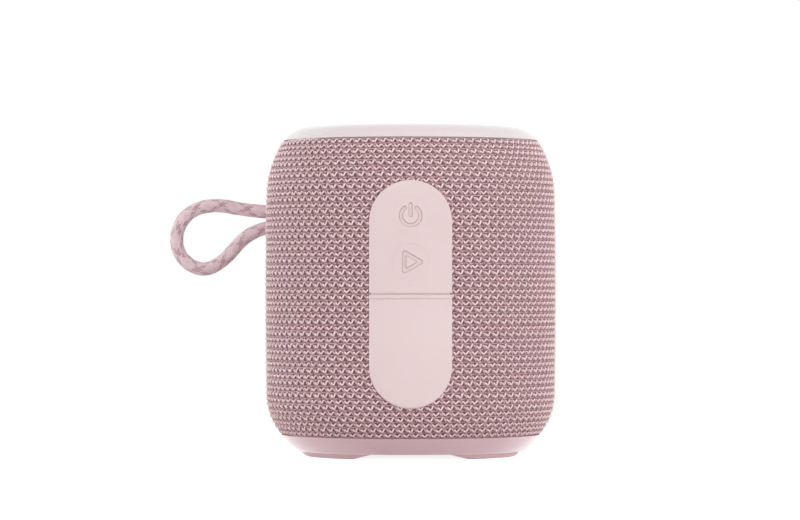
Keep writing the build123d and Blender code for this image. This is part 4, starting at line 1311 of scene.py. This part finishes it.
outlines = []
for reach, corner_r, way in ((PLAY_REACH, PLAY_CORNER_R, 1), (ISLAND_REACH, ISLAND_CORNER_R, -1)):
    for grow in (way * ICON_DRAFT, -way * ICON_DRAFT):
        outlines.append(rounded_triangle(reach + 2 * grow, corner_r + grow / 2, PLAY_X, PLAY_Z))
outer = raised(drafted_prism(outlines[0], outlines[1], 0, ICON_DEPTH))
island = drafted_prism(outlines[2], outlines[3], -ISLAND_SPARE, ICON_DEPTH + ISLAND_SPARE)
play = carve(round_prism(KEY_R - KEY_GAP, PLAY_Z, 0, PAD_T), carve(outer, island))
for key_name, key_form, body, key_z in (
    ("power", power, "power_button", POWER_Z),
    ("play", play, "play_button", PLAY_Z),
):
    # Faces on the walls of a symbol take the darker silicone, which is painted shade.
    for face in key_form.faces:
        spot = face.calc_center_median()
        inside = Vector((spot.x, spot.z - key_z)).length < KEY_R - WALL_RIM
        face.material_index = int(inside and WALL_EDGE < spot.y < ICON_DEPTH - WALL_EDGE)
    key_form = lay_round_drum(key_form)
    stem = object_from("stem", round_prism(STEM_R, key_z, -BODY_R + PAD_T, STEM_END, 32))
    key_form.from_mesh(stem.data)
    bpy.data.objects.remove(stem)
    key = piece_from(f"{key_name}_key_cap", key_form, panel_silicone, icon_wall_painted_shade, sharp=30)
    drum_normals(key)
    install(key, body, "pink_silicone", f"{key_name}_key")

# The flap: its pull lip is a step lower, its plug fits the port's mouth, and behind the line
# where it bends it is thin.
FLAP_SIDES = (-15 * MM, 15 * MM)
LIP_FRONT = -1 * MM
LIP_SLOPE = 0.05 * MM
LIP_SHELF = 0.14 * MM
LIP_TOP = FLAP_TOP + 0.01 * MM
BEND_DEPTHS = (0.75 * MM, 3 * MM)
BEND_HEIGHTS = (18.3 * MM, 20.7 * MM)
PLUG_SIDES = (-7.2 * MM, 7.2 * MM)
PLUG_DEPTHS = (1.2 * MM, 4 * MM)
PLUG_HEIGHTS = (24.3 * MM, 45.65 * MM)
HOLLOW_SIDES = (-6.2 * MM, 6.2 * MM)
HOLLOW_DEPTHS = (1 * MM, 5 * MM)
HOLLOW_HEIGHTS = (25.3 * MM, 44.65 * MM)
flap = half_panel(FLAP_TOP, -1)
lip_profile = (
    (LIP_FRONT, LIP_Z),
    (LIP_DEPTH, LIP_Z + LIP_SLOPE),
    (LIP_DEPTH, LIP_Z + LIP_W),
    (LIP_SHELF, LIP_Z + LIP_W + LIP_SLOPE),
    (LIP_SLOPE, LIP_TOP),
    (LIP_FRONT, LIP_TOP),
)
pull_lip = [(FLAP_SIDES[0], depth, height) for depth, height in lip_profile]
flap = carve(flap, prism(pull_lip, (FLAP_SIDES[1] - FLAP_SIDES[0], 0, 0)))
flap = carve(flap, box_prism(FLAP_SIDES, BEND_DEPTHS, BEND_HEIGHTS))
plug = box_prism(PLUG_SIDES, PLUG_DEPTHS, PLUG_HEIGHTS)
plug = carve(plug, box_prism(HOLLOW_SIDES, HOLLOW_DEPTHS, HOLLOW_HEIGHTS))
flap = carve(flap, plug, "UNION")
flap = piece_from("port_flap", lay_round_drum(flap), panel_silicone, sharp=30)
drum_normals(flap)
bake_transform(flap)
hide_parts("port_cover", "cover_tail")

# ---- Cord eyelet ----
# A soft grommet that lines the slot through the wall, in the same rubber as the feet, with the same
# painted light in its colour.
eyelet_form = bmesh.new()
eyelet_form.from_mesh(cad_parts["cord_eyelet"].data)
bmesh.ops.remove_doubles(eyelet_form, verts=eyelet_form.verts, dist=0.005 * MM)
eyelet = piece_from("cord_grommet", eyelet_form, foot_rubber, sharp=30)
install(eyelet, "root", "foot_rubber", "cord_eyelet")
